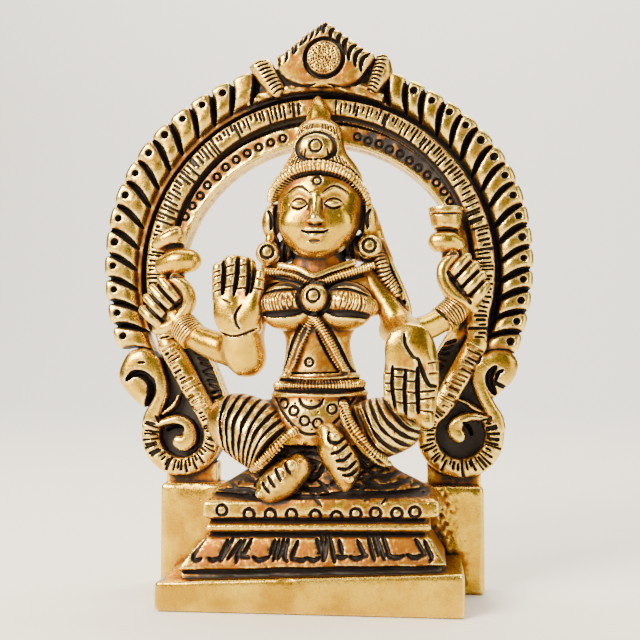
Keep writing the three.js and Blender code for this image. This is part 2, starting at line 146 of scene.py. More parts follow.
class Clay:
    """Modelling wax on a fine grid: the distance of each point from its surface, negative inside."""

    def __init__(self, low, high, step):
        self.low = np.array(low, float)
        self.step = step
        count = [int(round((b - a) / step)) + 1 for a, b in zip(low, high)]
        line = [low[i] + step * np.arange(count[i], dtype=np.float32) for i in range(3)]
        self.x, self.y, self.z = line[0][:, None, None], line[1][None, :, None], line[2][None, None, :]
        self.flat_x, self.flat_z = line[0][:, None], line[2][None, :]
        self.d = np.full(count, FAR, np.float32)
        self.ink = np.zeros(count, np.float32)
        self.cuts = np.zeros((count[0], count[2]), np.float32)
        self.height = np.zeros(self.cuts.shape, np.float32)
        self.outline = np.full(self.cuts.shape, FAR, np.float32)

    def span(self, axis, low, high):
        """The run of grid points along an axis that holds two places."""
        first = int(math.floor((low - self.low[axis]) / self.step))
        last = int(math.ceil((high - self.low[axis]) / self.step)) + 1
        size = self.d.shape[axis]
        return slice(min(max(first, 0), size - 1), max(min(last, size), 1))

    def groove(self, points, width, depth, taper=1.0, smooth=True):
        """Draws a line into the front with a round tool, thinner towards both ends by the taper."""
        path = smooth_path(points) if smooth else np.array(points, float)
        i = self.span(0, path[:, 0].min() - width, path[:, 0].max() + width)
        j = self.span(2, path[:, 1].min() - width, path[:, 1].max() + width)
        gap, where, _ = follow(self.flat_x[i], self.flat_z[:, j], path)
        along = np.clip(where / np.hypot(*np.diff(path, axis=0).T).sum(), 0, 1)
        thin = 1 - taper + taper * np.sqrt(np.clip(np.sin(math.pi * along), 0, 1))
        cut = tool_mark(gap, np.maximum(width * thin, 0.16), depth)
        self.cuts[i, j] = np.maximum(self.cuts[i, j], cut)

    def ring(self, x, z, radius, width, depth, tall=1.0):
        """Cuts a ring, upright or flattened, or with a radius of nothing a round hole."""
        reach = (radius + width) * max(tall, 1)
        i, j = self.span(0, x - reach, x + reach), self.span(2, z - reach, z + reach)
        r = np.hypot(self.flat_x[i] - x, (self.flat_z[:, j] - z) / tall)
        self.cuts[i, j] = np.maximum(self.cuts[i, j], tool_mark(r - radius, width, depth))

    def raise_up(self, gap, level, edge, fall):
        """Raises the panel inside an outline to a level, its edge rounded down by the fall."""
        t = np.clip(-gap / edge, 0, 1)
        raised = level - fall * (1 - np.sqrt(1 - (1 - t) ** 2))
        self.height = np.where(gap < 0, np.maximum(self.height, raised), self.height)
        self.outline = np.minimum(self.outline, gap)

    def settle(self, least=0.8):
        """Makes the solid from the raised panels and their cuts, with the flat back of the arch."""
        height = np.maximum(self.height - self.cuts, least)
        steep = np.sqrt(1 + np.minimum(np.hypot(*np.gradient(height, self.step)), 2.5) ** 2)
        lift = BACK - self.y
        front = (lift - height[:, None, :]) / steep[:, None, :]
        solid = np.maximum(np.maximum(front, self.outline[:, None, :]), -lift)
        self.d = np.clip(solid, -FAR, FAR).astype(np.float32)
        near_front = lift > np.maximum(height - 1.2, 0.6)[:, None, :]
        self.ink = np.where(near_front, self.cuts[:, None, :], 0).astype(np.float32)


def blurred(solid, reach):
    """The share of metal round each point, by running means along the three axes."""
    for axis in range(3):
        for _ in range(2):
            pad = [(0, 0)] * 3
            pad[axis] = (reach + 1, reach)
            total = np.cumsum(np.pad(solid, pad, mode="edge"), axis=axis, dtype=np.float32)
            ahead, behind = [slice(None)] * 3, [slice(None)] * 3
            ahead[axis] = slice(2 * reach + 1, None)
            behind[axis] = slice(0, solid.shape[axis])
            solid = (total[tuple(ahead)] - total[tuple(behind)]) / (2 * reach + 1)
    return solid


def sampled(field, low, step, points):
    """Values of a grid at points between its nodes."""
    place = (points - low) / step
    base = np.clip(np.floor(place).astype(int), 0, np.array(field.shape) - 2)
    t = np.clip(place - base, 0, 1)
    total = 0
    for corner in np.ndindex((2,) * field.ndim):
        weight = np.prod(np.where(corner, t, 1 - t), axis=1)
        total = total + weight * field[tuple((base + corner).T)]
    return total


def colour(code):
    """An sRGB hex value as linear light."""
    parts = [int(code[i:i + 2], 16) / 255 for i in (1, 3, 5)]
    return [c / 12.92 if c <= 0.04045 else ((c + 0.055) / 1.055) ** 2.4 for c in parts] + [1.0]


def node(tree, kind, inputs=None, **settings):
    """Adds a node with its settings, and sets or links its inputs."""
    made = tree.nodes.new(kind)
    for name, value in settings.items():
        setattr(made, name, value)
    for name, value in (inputs or {}).items():
        if isinstance(value, bpy.types.NodeSocket):
            tree.links.new(value, made.inputs[name])
        else:
            made.inputs[name].default_value = value
    return made


def cast_brass():
    """Cast brass, blackened after casting and then rubbed bright wherever the cloth reached it; its black
    and brown also carry painted shade where the pieces close round each other, and its pale ridges a
    painted highlight.
    """
    material = bpy.data.materials.new("cast_brass_patina_wear_and_painted_light")
    material.use_nodes = True
    tree = material.node_tree
    tree.nodes.clear()
    place = node(tree, "ShaderNodeTexCoord").outputs["Object"]
    read = {name: node(tree, "ShaderNodeAttribute", attribute_name=name).outputs["Fac"]
            for name in ("fine", "wide", "cut", "near")}

    def maths(operation, *values):
        return node(tree, "ShaderNodeMath", dict(enumerate(values)), operation=operation).outputs[0]

    def between(value, low, high):
        limits = {"Value": value, "From Min": low, "From Max": high}
        return node(tree, "ShaderNodeMapRange", limits, interpolation_type="SMOOTHSTEP").outputs[0]

    def blend(amount, first, second):
        made = node(tree, "ShaderNodeMix", {"Factor": amount, 6: first, 7: second}, data_type="RGBA")
        return made.outputs[2]

    def noise(size_mm, detail=3.0, rough=0.6):
        inputs = {"Vector": place, "Scale": 1000.0 / size_mm, "Detail": detail, "Roughness": rough}
        return node(tree, "ShaderNodeTexNoise", inputs).outputs["Fac"]

    # Clouds change the tone of the brass from place to place, mottle breaks the edge of the black
    # patina, grain is the fine cast skin, and scattered pits hold a little black each.
    cloud = between(noise(9.0), 0.35, 0.65)
    mottle = noise(1.6, 4.0, 0.65)
    grain = noise(0.45, 2.0)
    pits = node(tree, "ShaderNodeTexVoronoi", {"Vector": place, "Scale": 1000.0 / 1.9}).outputs["Distance"]
    pit = maths("MULTIPLY", between(pits, 0.16, 0.07), between(noise(5.0), 0.52, 0.62))
    # The shade sums how enclosed a point is among all the pieces (wide), how hollow it is near by (fine)
    # and how deep and near the cuts are (cut, near): patina in the hollows, and through wide also painted
    # shade where pieces hide each other from the light.
    shade = maths("ADD", maths("MULTIPLY", maths("SUBTRACT", read["wide"], 0.5), 3.4),
                  maths("MULTIPLY", maths("SUBTRACT", read["fine"], 0.5), 2.0))
    shade = maths("ADD", shade, maths("MULTIPLY", read["cut"], 0.9))
    shade = maths("ADD", shade, maths("MULTIPLY", read["near"], 1.9))
    shade = maths("ADD", shade, maths("MULTIPLY", maths("SUBTRACT", mottle, 0.5), 1.3))
    brown = between(shade, -0.05, 0.38)
    black = between(maths("ADD", shade, maths("MULTIPLY", pit, 0.8)), 0.45, 0.9)
    # Convex ridges turn pale cream: rubbed wear, and a painted highlight.
    worn_and_painted_highlight = between(maths("SUBTRACT", 0.5, read["fine"]), 0.0, 0.12)
    metal = blend(cloud, colour("#B98C18"), colour("#DCB430"))
    metal = blend(worn_and_painted_highlight, metal, colour("#F5D774"))
    metal = blend(maths("MULTIPLY", brown, 0.88), metal, colour("#86440E"))
    metal = blend(black, metal, colour("#170E0C"))
    rough = maths("ADD", 0.27, maths("MULTIPLY", brown, 0.2))
    rough = maths("ADD", rough, maths("MULTIPLY", black, 0.15))
    rough = maths("ADD", rough, maths("MULTIPLY", maths("SUBTRACT", grain, 0.5), 0.2))
    relief = maths("ADD", maths("MULTIPLY", mottle, 0.6), maths("MULTIPLY", grain, 0.25))
    relief = maths("SUBTRACT", relief, maths("MULTIPLY", pit, 0.8))
    bump = node(tree, "ShaderNodeBump", {"Height": relief, "Strength": 0.6, "Distance": 0.00015}).outputs[0]
    surface = node(tree, "ShaderNodeBsdfPrincipled", {
        "Base Color": metal,
        "Metallic": maths("SUBTRACT", 1.0, maths("MULTIPLY", black, 0.8)),
        "Roughness": rough,
        "Normal": bump,
    })
    node(tree, "ShaderNodeOutputMaterial", {"Surface": surface.outputs[0]})
    return material


brass = cast_brass()
castings = []


def write_values(mesh, label, values):
    """Keeps a value for each point of the mesh, for the brass to read."""
    mesh.attributes.new(label, "FLOAT", "POINT").data.foreach_set("value", values.astype(np.float32))


def keep_flats_flat(mesh):
    """Lets each face pull on the shading by its area, so that a flat back looks flat up to its edge."""
    faces, corners = len(mesh.polygons), len(mesh.loops)
    normals, areas = np.zeros(3 * faces), np.zeros(faces)
    sizes, points = np.zeros(faces, np.int32), np.zeros(corners, np.int32)
    mesh.polygons.foreach_get("normal", normals)
    mesh.polygons.foreach_get("area", areas)
    mesh.polygons.foreach_get("loop_total", sizes)
    mesh.loops.foreach_get("vertex_index", points)
    pull = np.repeat(normals.reshape(-1, 3) * areas[:, None], sizes, axis=0)
    total = np.stack([np.bincount(points, pull[:, axis], len(mesh.vertices)) for axis in range(3)], 1)
    total /= np.maximum(np.linalg.norm(total, axis=1, keepdims=True), 1e-12)
    mesh.normals_split_custom_set_from_vertices(total)


def cast(clay, name, most):
    """Pours the clay's form in brass: a closed mesh that knows how hollow and cut each point is."""
    grid = openvdb.FloatGrid(FAR)
    grid.copyFromArray(clay.d)
    points, triangles, quads = grid.convertToPolygons(0.0, 0.1)
    mesh = bpy.data.meshes.new(name)
    corners = np.concatenate([quads.ravel(), triangles.ravel()])
    sizes = np.concatenate([np.full(len(quads), 4), np.full(len(triangles), 3)])
    mesh.vertices.add(len(points))
    mesh.vertices.foreach_set("co", ((clay.low + points * clay.step + (MIDLINE, 0, 0)) * 0.001).ravel())
    mesh.loops.add(len(corners))
    mesh.loops.foreach_set("vertex_index", corners.astype(np.int32))
    mesh.polygons.add(len(sizes))
    mesh.polygons.foreach_set("loop_start", (np.cumsum(sizes) - sizes).astype(np.int32))
    mesh.update(calc_edges=True)
    piece = bpy.data.objects.new(name, mesh)
    bpy.context.scene.collection.objects.link(piece)
    count = 2 * len(quads) + len(triangles)
    if count > most:
        piece.modifiers.new("fewer_faces", "DECIMATE").ratio = most / count
        placed = piece.evaluated_get(bpy.context.evaluated_depsgraph_get())
        mesh = bpy.data.meshes.new_from_object(placed)
        piece.modifiers.clear()
        piece.data = mesh
        mesh.name = name
    mesh.shade_smooth()
    keep_flats_flat(mesh)
    points = np.zeros(3 * len(mesh.vertices))
    mesh.vertices.foreach_get("co", points)
    points = points.reshape(-1, 3) * 1000 - (MIDLINE, 0, 0)
    solid = np.clip(0.5 - clay.d / clay.step, 0, 1)
    fine = blurred(solid, max(1, round(0.35 / clay.step)))
    write_values(mesh, "fine", sampled(fine, clay.low, clay.step, points))
    write_values(mesh, "cut", sampled(clay.ink, clay.low, clay.step, points))
    near = blurred(np.minimum(clay.ink, 1.0), max(1, round(0.9 / clay.step)))
    write_values(mesh, "near", sampled(near, clay.low, clay.step, points))
    castings.append((mesh, points, clay))
    mesh.materials.append(brass)
    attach(piece, "root")
    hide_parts("lakshmi_figure_with_frame")


def swell(turn):
    """How far the ring swells out at its shoulders, by degrees from its top."""
    return ARCH["swell"] * np.exp(-(((turn - ARCH["swell_at"]) / 22) ** 2))


def band_leg(side):
    """The straight run of the band, from the arch down to the scroll."""
    return [(side * 34.7 - 0.1, 54.4), (side * 32.3, 50.3), (side * 29.7, 45.6), (side * 27.2, 41.3)]


arch = Clay((-51.4, 5.6, 37.6), (49.2, 14.6, 121.6), 0.22)
X, Z = arch.flat_x, arch.flat_z
radius = np.hypot(X - ARCH["x"], Z - ARCH["z"])
degrees = np.degrees(np.arctan2(np.abs(X - ARCH["x"]), Z - ARCH["z"]))
depth_in = np.clip((48.2 - radius) / 8.0, 0, 1.1)
tip = ARCH["tip"] + swell(degrees)

# The ground plate. Its opening narrows below the arch, and there it ends inside the band.
half_gap = np.interp(Z, [38.0, 43.5, 50.0, 56.0, 61.0, 67.5], [20.4, 21.7, 24.3, 27.6, 30.8, 32.6])
round_gap = np.hypot(X - OPENING["x"], Z - OPENING["z"]) - OPENING["radius"]
past_opening = np.where(Z > OPENING["z"], round_gap, (np.abs(X - OPENING["x"]) - half_gap) * 0.9)
half_plate = np.interp(Z, [38.0, 41.3, 45.6, 50.3, 54.4, 58.0, 64.0],
                       [25.0, 27.2, 29.7, 32.3, 34.7, 40.0, 52.0])
plate = np.maximum(radius - tip + 0.6, np.abs(X + 0.2) - half_plate)
plate = np.maximum(plate, np.maximum(-past_opening, 40.0 - Z))
arch.raise_up(plate, LEVEL["ground"], 0.3, 0.3)

# The ring of tongues, parted by crescent grooves that sweep down towards the middle.
for side, count, first, last in TONGUES:
    pitch = (last - first) / (count - 1)
    place = (degrees - SWEEP * depth_in**1.9 - first) / pitch
    nearest = np.clip(np.round(place), -1, count - 1)
    off = np.abs(place - nearest)
    gap = np.maximum(radius - tip + 0.8 * np.clip(off * 2, 0, 1.2) ** 4, 41.2 - radius)
    gap = np.maximum(gap, (off - 0.5) * pitch * 0.8)
    gap = np.where((side * (X - ARCH["x"]) > 0) & (place > -1.45), gap, FAR)
    dip = 0.35 * np.clip(off * 2, 0, 1) ** 2 + 1.2 * np.clip((43.8 - radius) / 2.6, 0, 1) ** 1.5
    arch.raise_up(gap, LEVEL["tongue"] - dip, 1.3, 1.5)
    for i in range(-1, count + 1):
        start = first + pitch * (i - 0.5) + chance.uniform(-0.4, 0.4)
        line = []
        for t in np.linspace(0, 1, 7):
            out = 48.5 - 7.1 * t
            turn = math.radians(start + SWEEP * ((48.2 - min(out, 48.2)) / 8) ** 1.9)
            line.append((ARCH["x"] + side * out * math.sin(turn), ARCH["z"] + out * math.cos(turn)))
        arch.groove(line, chance.uniform(1.3, 1.65), 2.1, taper=0.8)
    for i in range(count):
        turn = math.radians(first + pitch * i)
        out = 46.3 + swell(first + pitch * i)
        x, z = ARCH["x"] + side * out * math.sin(turn), ARCH["z"] + out * math.cos(turn)
        arch.ring(x, z, 0, 2 * chance.uniform(0.75, 0.95), 1.9)

# The strip of punched rings along the opening, darker and rougher where it runs down to the scrolls.
strip = np.maximum(np.maximum(-past_opening, past_opening - 4.6), 41.0 - Z)
strip = np.where(np.hypot(X - BAND["x"], Z - BAND["z"]) < 36, strip, FAR)
low_strip = np.clip((57 - Z) / 4, 0, 1)
rim = np.clip(1 - past_opening / 0.9, 0, 1)
arch.raise_up(strip, LEVEL["strip"] - low_strip * (1 - rim) * 1.1, 0.8, 0.7)
for side, first, last in [(-1, 14.0, 62.0), (1, 14.0, 57.0)]:
    for turn in np.linspace(first, last, 11):
        out = OPENING["radius"] + 2.45 + chance.uniform(-0.25, 0.25)
        x = OPENING["x"] + side * out * math.sin(math.radians(turn))
        z = OPENING["z"] + out * math.cos(math.radians(turn))
        arch.ring(x, z, 0.78, 0.6, 1.0)
        arch.ring(x, z, 0, 0.34, 0.5)
    for z in np.arange(42.6, 56, 1.25):
        x = OPENING["x"] + side * (np.interp(z, [43.5, 50.0, 56.0], [21.7, 24.3, 27.6]) + 2.1)
        lean = chance.uniform(-0.5, 0.5)
        arch.groove([(x - 1.1, z - lean), (x + 1.1, z + lean)], 0.85, 1.1, taper=0.4, smooth=False)
dirt_and_painted_shadow = 0.14 * np.clip((uneven(X, Z, 3.0, 24) + 0.9) * 1.2, 0, 1.5) + 0.25 * low_strip
# Right of the head the ground of the strip is painted darker: painted shadow cast by the head.
dirt_and_painted_shadow = dirt_and_painted_shadow + 0.25 * np.clip((X - 6) / 4, 0, 1) * np.clip((Z - 90) / 4, 0, 1)
arch.cuts = np.where((strip < -0.3) & (past_opening > 1.0), np.maximum(arch.cuts, dirt_and_painted_shadow), arch.cuts)

# Two dark rings part the tongues, the band and the strip.
for x, z, out, width, cut in ((-0.6, 70.6, 40.4, 1.5, 2.2), (-0.2, 71.8, 34.2, 1.15, 1.3)):
    off = np.hypot(X - x, Z - z) - out
    line = tool_mark(off, width, cut) * np.clip((Z - 56) / 6, 0, 1)
    arch.cuts = np.maximum(arch.cuts, line.astype(np.float32))


def ribbed_band(clay, path, side, plain_until=0.0, loop_from=66.0):
    """Lays the band along its path and cuts its ribs by hand, no two of them quite alike."""
    gap, where, hand = follow(clay.flat_x, clay.flat_z, smooth_path(path, 3))
    lower = np.clip((where - loop_from) / 16, 0, 1)
    half = BAND["half"] + (BAND["loop_half"] - BAND["half"]) * lower
    clay.raise_up(gap - half, LEVEL["band"] - 0.9 * (gap / half) ** 2 - 0.3 * lower, 0.7, 0.7)
    pitch = 0.98
    rib = np.floor(where / pitch).astype(int)
    total = rib.max() + 2
    shift = chance.uniform(-0.28, 0.28, total)
    broad = chance.uniform(0.26, 0.52, total)
    reach_in = chance.uniform(-0.98, 0.2, total)
    reach_out = chance.uniform(0.62, 1.0, total)
    across = gap * hand * side / half
    nearest = np.abs(where - (rib + 0.5 + shift[rib]) * pitch + 0.12 * across)
    within = np.clip(np.minimum(across - reach_in[rib], reach_out[rib] - across) * 6, 0, 1)
    notch = 0.9 * np.clip(1.2 - (nearest / broad[rib] * 1.5) ** 2, 0, 1) * within
    notch = np.where((gap < half) & (where > plain_until), notch, 0)
    clay.cuts = np.maximum(clay.cuts, notch.astype(np.float32))


for side in (-1, 1):
    path = arc(BAND["x"], BAND["z"], BAND["radius"], 0, side * 105, 22) + band_leg(side)
    ribbed_band(arch, path, side, plain_until=3.6)

# The rough ledge over the band, under the leaf.
ledge = np.maximum(np.abs(degrees) * 0.8 - 17.5, np.maximum(radius - 43.5, 41.2 - radius))
arch.raise_up(ledge, LEVEL["ledge"] + 0.35 * uneven(X, Z, 2.4, 3), 1.2, 1.2)
arch.height += 0.07 * uneven(X, Z, 5, 21)
arch.cuts = np.maximum(arch.cuts, 0.04 + 0.12 * (ledge < 0.6) + 0.03 * uneven(X, Z, 7, 27))
arch.settle()
cast(arch, "arch_ring", 185000)

# The leaf on top
# A pointed leaf with a stippled disc, cast with the arch and cut by hand: fine hatching along its
# left edge, thick curved strokes along the right one, and a ribbed cuff on either side.
LEAF = {"x": 1.0, "disc": 119.3, "disc_radius": 4.0}
LEAF_EDGE = [(1.1, 128.0), (-2.9, 125.5), (-5.4, 123.4), (-8.6, 121.0), (-9.9, 120.0), (-9.5, 117.0),
             (-7.3, 114.3), (-3.9, 113.0), (1.1, 112.8), (5.4, 112.8), (9.1, 114.6), (11.7, 118.0),
             (12.4, 120.0), (10.3, 121.2), (6.9, 123.9), (4.0, 126.1), (2.3, 127.4)]
FINE_STROKES = [
    [(0.5, 127.6), (0.3, 126.4), (0.0, 125.2)], [(-0.6, 127.1), (-0.3, 125.7), (-0.9, 124.2)],
    [(-1.8, 126.3), (-1.6, 125.0), (-2.2, 123.3)], [(-3.0, 125.6), (-3.0, 124.0), (-4.1, 122.3)],
    [(-4.4, 124.5), (-4.1, 123.1), (-4.5, 122.1)], [(-5.9, 123.3), (-5.3, 121.6), (-5.9, 120.2)],
    [(-6.9, 122.5), (-6.1, 121.4), (-6.2, 120.4)], [(-8.0, 121.6), (-7.4, 120.2), (-7.8, 118.5)],
    [(-9.5, 120.4), (-9.2, 118.8), (-9.3, 117.6)],
]
THICK_STROKES = [
    [(2.0, 127.6), (1.0, 126.4), (0.9, 124.9)], [(3.9, 126.5), (2.6, 125.3), (2.5, 123.6)],
    [(5.4, 125.4), (4.3, 123.8), (4.5, 122.2)], [(6.9, 124.2), (5.6, 122.5), (5.9, 120.0)],
    [(8.9, 122.4), (7.3, 121.4), (6.6, 119.8), (6.7, 118.4)],
    [(10.1, 121.4), (8.4, 119.9), (8.0, 118.3), (8.2, 117.0)],
    [(11.6, 120.2), (9.9, 118.9), (9.3, 117.2), (9.4, 115.9)],
]
CUFFS = [
    ([(-16.5, 118.1), (-14.6, 119.7), (-11.6, 119.8), (-9.8, 116.6), (-8.3, 113.3), (-9.3, 110.8),
      (-11.5, 111.4), (-14.3, 114.7)], (-14.8, 118.6), (-12.2, 119.3), (-10.6, 111.6), (-8.3, 113.1), 9),
    ([(12.8, 120.0), (14.7, 120.3), (16.1, 118.5), (16.3, 115.7), (14.7, 113.3), (12.2, 111.0),
      (10.6, 112.5), (11.5, 115.9)], (12.9, 119.4), (15.6, 119.3), (10.7, 112.3), (12.6, 111.2), 10),
]

leaf = Clay((-18.2, 4.6, 107.6), (18.4, 14.4, 128.8), 0.18)
X, Z = leaf.flat_x, leaf.flat_z
round_ledge = np.hypot(X - ARCH["x"], Z - ARCH["z"])
ledge = np.maximum(np.maximum(np.abs(X - 1) - 12.5, Z - 114.2), 42.0 - round_ledge)
leaf.raise_up(ledge, LEVEL["ledge"] + 0.4 * uneven(X, Z, 2.2, 3), 1.2, 1.2)
for edge, *_ in CUFFS:
    leaf.raise_up(inside(X, Z, closed_path(edge, 4)), LEVEL["leaf"] - 0.6, 1.9, 1.9)
leaf_gap = inside(X, Z, closed_path(LEAF_EDGE, 3))
leaf.raise_up(leaf_gap, LEVEL["leaf"] - 0.4 + 0.05 * np.clip(Z - 116, 0, 6), 1.8, 1.5)
around = np.hypot(X - LEAF["x"], Z - LEAF["disc"])
leaf.raise_up(around - LEAF["disc_radius"], LEVEL["leaf"] + 0.35, 1.2, 0.8)
leaf.ring(LEAF["x"], LEAF["disc"], LEAF["disc_radius"] + 0.35, 1.0, 1.5)
leaf.groove([(-9.2, 116.3), (-7.3, 114.5), (-3.9, 113.2), (-0.9, 113.5)], 0.7, 1.0)
leaf.groove([(2.0, 113.4), (5.4, 112.6), (8.6, 113.8), (11.3, 117.4)], 0.8, 1.2)
for width, depth, strokes in ((0.75, 1.0, FINE_STROKES), (1.15, 1.3, THICK_STROKES)):
    for stroke in strokes:
        leaf.groove(stroke, width, depth)
for ring in range(7):
    for i in range(max(6 * ring, 1)):
        out = 0.56 * ring + chance.uniform(-0.12, 0.12)
        turn = 2 * math.pi * (i + chance.uniform(-0.3, 0.3)) / max(6 * ring, 1)
        at = (LEAF["x"] + out * math.sin(turn), LEAF["disc"] + out * math.cos(turn))
        leaf.ring(*at, 0, chance.uniform(0.3, 0.46), 0.6)
for edge, top_left, top_right, low_left, low_right, ribs in CUFFS:
    for t in np.linspace(0, 1, ribs):
        ends = [tuple(np.array(a) * (1 - t) + np.array(b) * t)
                for a, b in ((top_left, low_left), (top_right, low_right))]
        middle = ((ends[0][0] + ends[1][0]) / 2, (ends[0][1] + ends[1][1]) / 2 + 0.15)
        leaf.groove([ends[0], middle, ends[1]], 0.52, 0.95, taper=0.6)
leaf.height += 0.06 * uneven(X, Z, 4, 22)
leaf.cuts = np.maximum(leaf.cuts, 0.07 + 0.09 * np.clip((118 - Z) / 5, 0, 1))
leaf.settle(least=2.2)
cast(leaf, "leaf_on_top", 56000)

# The two scrolls
# Each foot of the arch ends in a scroll, cast with it and cut deep: the band turns round a comma
# curl, and a bent neck carries a knob that looks outwards. A plain neck below stands on the block.
SCROLLS = {
    "left": {
        "side": -1, "hub": (-31.7, 34.2, 7.2),
        "knob": [(-38.9, 53.4), (-41.0, 54.0), (-44.4, 52.7), (-46.5, 47.9), (-44.9, 44.2), (-40.7, 40.4),
                 (-38.9, 41.2), (-37.6, 45.0), (-36.9, 50.6)],
        "neck": [(-38.6, 50.3, 2.2), (-36.9, 47.2, 1.5), (-36.4, 43.8, 1.5), (-37.6, 40.6, 1.5),
                 (-38.8, 38.0, 1.8), (-39.0, 35.8, 2.0)],
        "crescent": [(-44.4, 46.5), (-42.6, 48.0), (-40.5, 47.8), (-38.8, 46.2), (-38.6, 43.6),
                     (-39.9, 40.4)],
        "curl": [(-37.6, 36.3), (-35.2, 37.2), (-32.6, 37.6), (-30.4, 36.2), (-29.8, 33.8), (-31.0, 32.2),
                 (-32.2, 32.6)],
        "curl_half": [0.8, 0.95, 1.1, 1.35, 1.6, 1.9, 1.6],
        "hooks": [[(-35.7, 35.1), (-33.8, 36.0), (-32.3, 36.2), (-31.3, 35.9), (-31.2, 35.2)]],
        "sprigs": [[(-36.2, 38.9), (-33.7, 40.8), (-32.4, 43.3)]],
        "nicks": [[(-39.9, 37.2), (-37.4, 36.6)], [(-40.1, 35.2), (-38.4, 35.0), (-37.0, 33.9)],
                  [(-37.6, 38.6), (-36.6, 36.9)], [(-41.7, 50.6), (-39.9, 50.6)]],
        "ground": [(-38.0, 37.0), (-36.8, 44.0), (-37.0, 51.5), (-34.4, 54.4), (-31.0, 48.0), (-26.6, 40.2),
                   (-25.0, 34.0), (-31.7, 27.6), (-37.6, 31.0)],
    },
    "right": {
        "side": 1, "hub": (31.1, 34.7, 7.5),
        "knob": [(36.4, 52.6), (38.8, 53.6), (42.0, 53.1), (43.8, 50.4), (43.0, 47.2), (41.2, 45.1),
                 (38.4, 42.8), (37.0, 43.4), (35.0, 46.4), (34.8, 50.4)],
        "neck": [(36.4, 50.9, 1.6), (35.2, 48.8, 1.5), (35.2, 46.0, 1.5), (36.2, 43.2, 1.5),
                 (37.6, 40.6, 1.5), (38.8, 38.2, 1.7), (39.0, 36.2, 2.0)],
        "crescent": [(38.9, 49.8), (37.5, 47.8), (37.7, 45.6), (38.7, 43.4)],
        "curl": [(37.0, 37.9), (34.5, 38.5), (32.2, 38.3), (30.4, 37.0), (29.9, 35.4), (30.6, 34.4)],
        "curl_half": [1.0, 0.95, 1.0, 1.3, 1.7, 1.7],
        "hooks": [[(31.8, 37.3), (33.0, 36.2), (33.6, 34.6)], [(40.3, 48.8), (39.3, 48.2), (38.8, 46.8)],
                  [(38.2, 46.4), (39.6, 45.6), (40.9, 45.1)]],
        "sprigs": [[(37.6, 38.9), (34.5, 40.3), (32.5, 41.6), (30.6, 42.4)]],
        "nicks": [[(34.7, 36.8), (35.9, 37.9), (37.5, 38.1)], [(37.0, 37.6), (37.6, 36.9)],
                  [(35.6, 52.0), (35.0, 50.2)], [(36.8, 35.0), (37.4, 33.4)]],
        "ground": [(38.0, 37.0), (35.4, 44.0), (34.2, 50.5), (32.8, 54.4), (30.0, 48.0), (26.0, 40.2),
                   (24.4, 34.0), (31.1, 27.6), (37.6, 31.0)],
    },
}


def swelling_stroke(clay, points, halves, level):
    """Lays a raised stroke that swells along its path."""
    path = smooth_path(points, 6)
    gap, where = follow(clay.flat_x, clay.flat_z, path)[:2]
    at = np.linspace(0, np.hypot(*np.diff(path, axis=0).T).sum(), len(halves))
    half = np.interp(where, at, halves)
    clay.raise_up(gap - half, level - 0.5 * (gap / half) ** 2, 0.8, 0.9)


for name, scroll in SCROLLS.items():
    side = scroll["side"]
    low_x, high_x = sorted((side * 19.6, side * 48.4))
    clay = Clay((low_x, 5.6, 22.0), (high_x, 14.6, 55.8), 0.2)
    X, Z = clay.flat_x, clay.flat_z
    riser = np.maximum(np.abs(X - side * 29.6) - 6.0, np.maximum(Z - 28.0, 21.0 - Z))
    clay.raise_up(riser, 4.4, 0.5, 0.5)
    clay.raise_up(inside(X, Z, scroll["ground"]), 3.4, 0.3, 0.3)
    hub_x, hub_z, loop = scroll["hub"]
    path = band_leg(side) + arc(hub_x, hub_z, loop, -side * 62, -side * 290, 16)
    ribbed_band(clay, path, side, loop_from=8.0)
    clay.raise_up(inside(X, Z, closed_path(scroll["knob"], 5)), 7.2, 2.4, 2.0)
    neck = np.array(scroll["neck"])
    swelling_stroke(clay, neck[:, :2], neck[:, 2], 7.0)
    swelling_stroke(clay, scroll["curl"], scroll["curl_half"], 7.1)
    clay.groove(scroll["crescent"], 1.9, 3.2, taper=0.8)
    for hook in scroll["hooks"]:
        clay.groove(hook, 0.9, 2.2, taper=0.4)
    for sprig in scroll["sprigs"]:
        swelling_stroke(clay, sprig, [0.5, 0.75, 0.3], 6.0)
    for nick in scroll["nicks"]:
        clay.groove(nick, 0.6, 0.8)
    sunk = np.clip((4.6 - clay.height) * 1.5, 0, 1) * (Z > 27)
    clay.cuts = np.maximum(clay.cuts, sunk.astype(np.float32) * 0.6)
    clay.height += 0.05 * uneven(X, Z, 5, 23) + 0.6 * sunk
    clay.settle()
    cast(clay, name + "_scroll", 74000)

# The block
# The plain block behind the plinth that carries the arch, one with the casting. Its faces were only
# filed, so the skin keeps a few pits, and beside the plinth the rough cast surface was left.
BLOCK = {"half": 36.1, "front": 6.4, "back": 15.0, "top": 23.5, "round": 1.1}


def rounded(gaps, radius):
    """The form inside all of the gaps, its edges and corners rounded to a radius."""
    gaps = [gap + radius for gap in gaps]
    outside = np.sqrt(sum(np.maximum(gap, 0) ** 2 for gap in gaps))
    deepest = gaps[0]
    for gap in gaps[1:]:
        deepest = np.maximum(deepest, gap)
    return outside + np.minimum(deepest, 0) - radius


block = Clay((-37.4, 5.2, -1.0), (37.4, 16.2, 24.8), 0.3)
centre_y = (BLOCK["front"] + BLOCK["back"]) / 2
block.d = rounded([np.abs(block.x) - BLOCK["half"],
                   np.abs(block.y - centre_y) - (BLOCK["back"] - BLOCK["front"]) / 2,
                   np.abs(block.z - BLOCK["top"] / 2) - BLOCK["top"] / 2], BLOCK["round"])
rough = np.clip((np.abs(block.x) - 24) / 2, 0, 1) * np.clip((31 - np.abs(block.x)) / 4, 0, 1)
rough = rough * (block.x > 0) * 1.3 + 0.12 * np.clip((34 - np.abs(block.x)) / 4, 0, 1)
skin = uneven(block.x + 0 * block.y, block.z, 1.3, 31) * np.clip((8 - block.y) / 1.2, 0, 1)
block.ink = (0.45 * rough * np.maximum(skin, 0)).astype(np.float32)
block.d = np.clip(block.d + 0.16 * rough * skin + 0.03 * uneven(block.x + 0 * block.y, block.z, 6, 32),
                  -FAR, FAR).astype(np.float32)
cast(block, "block", 60000)

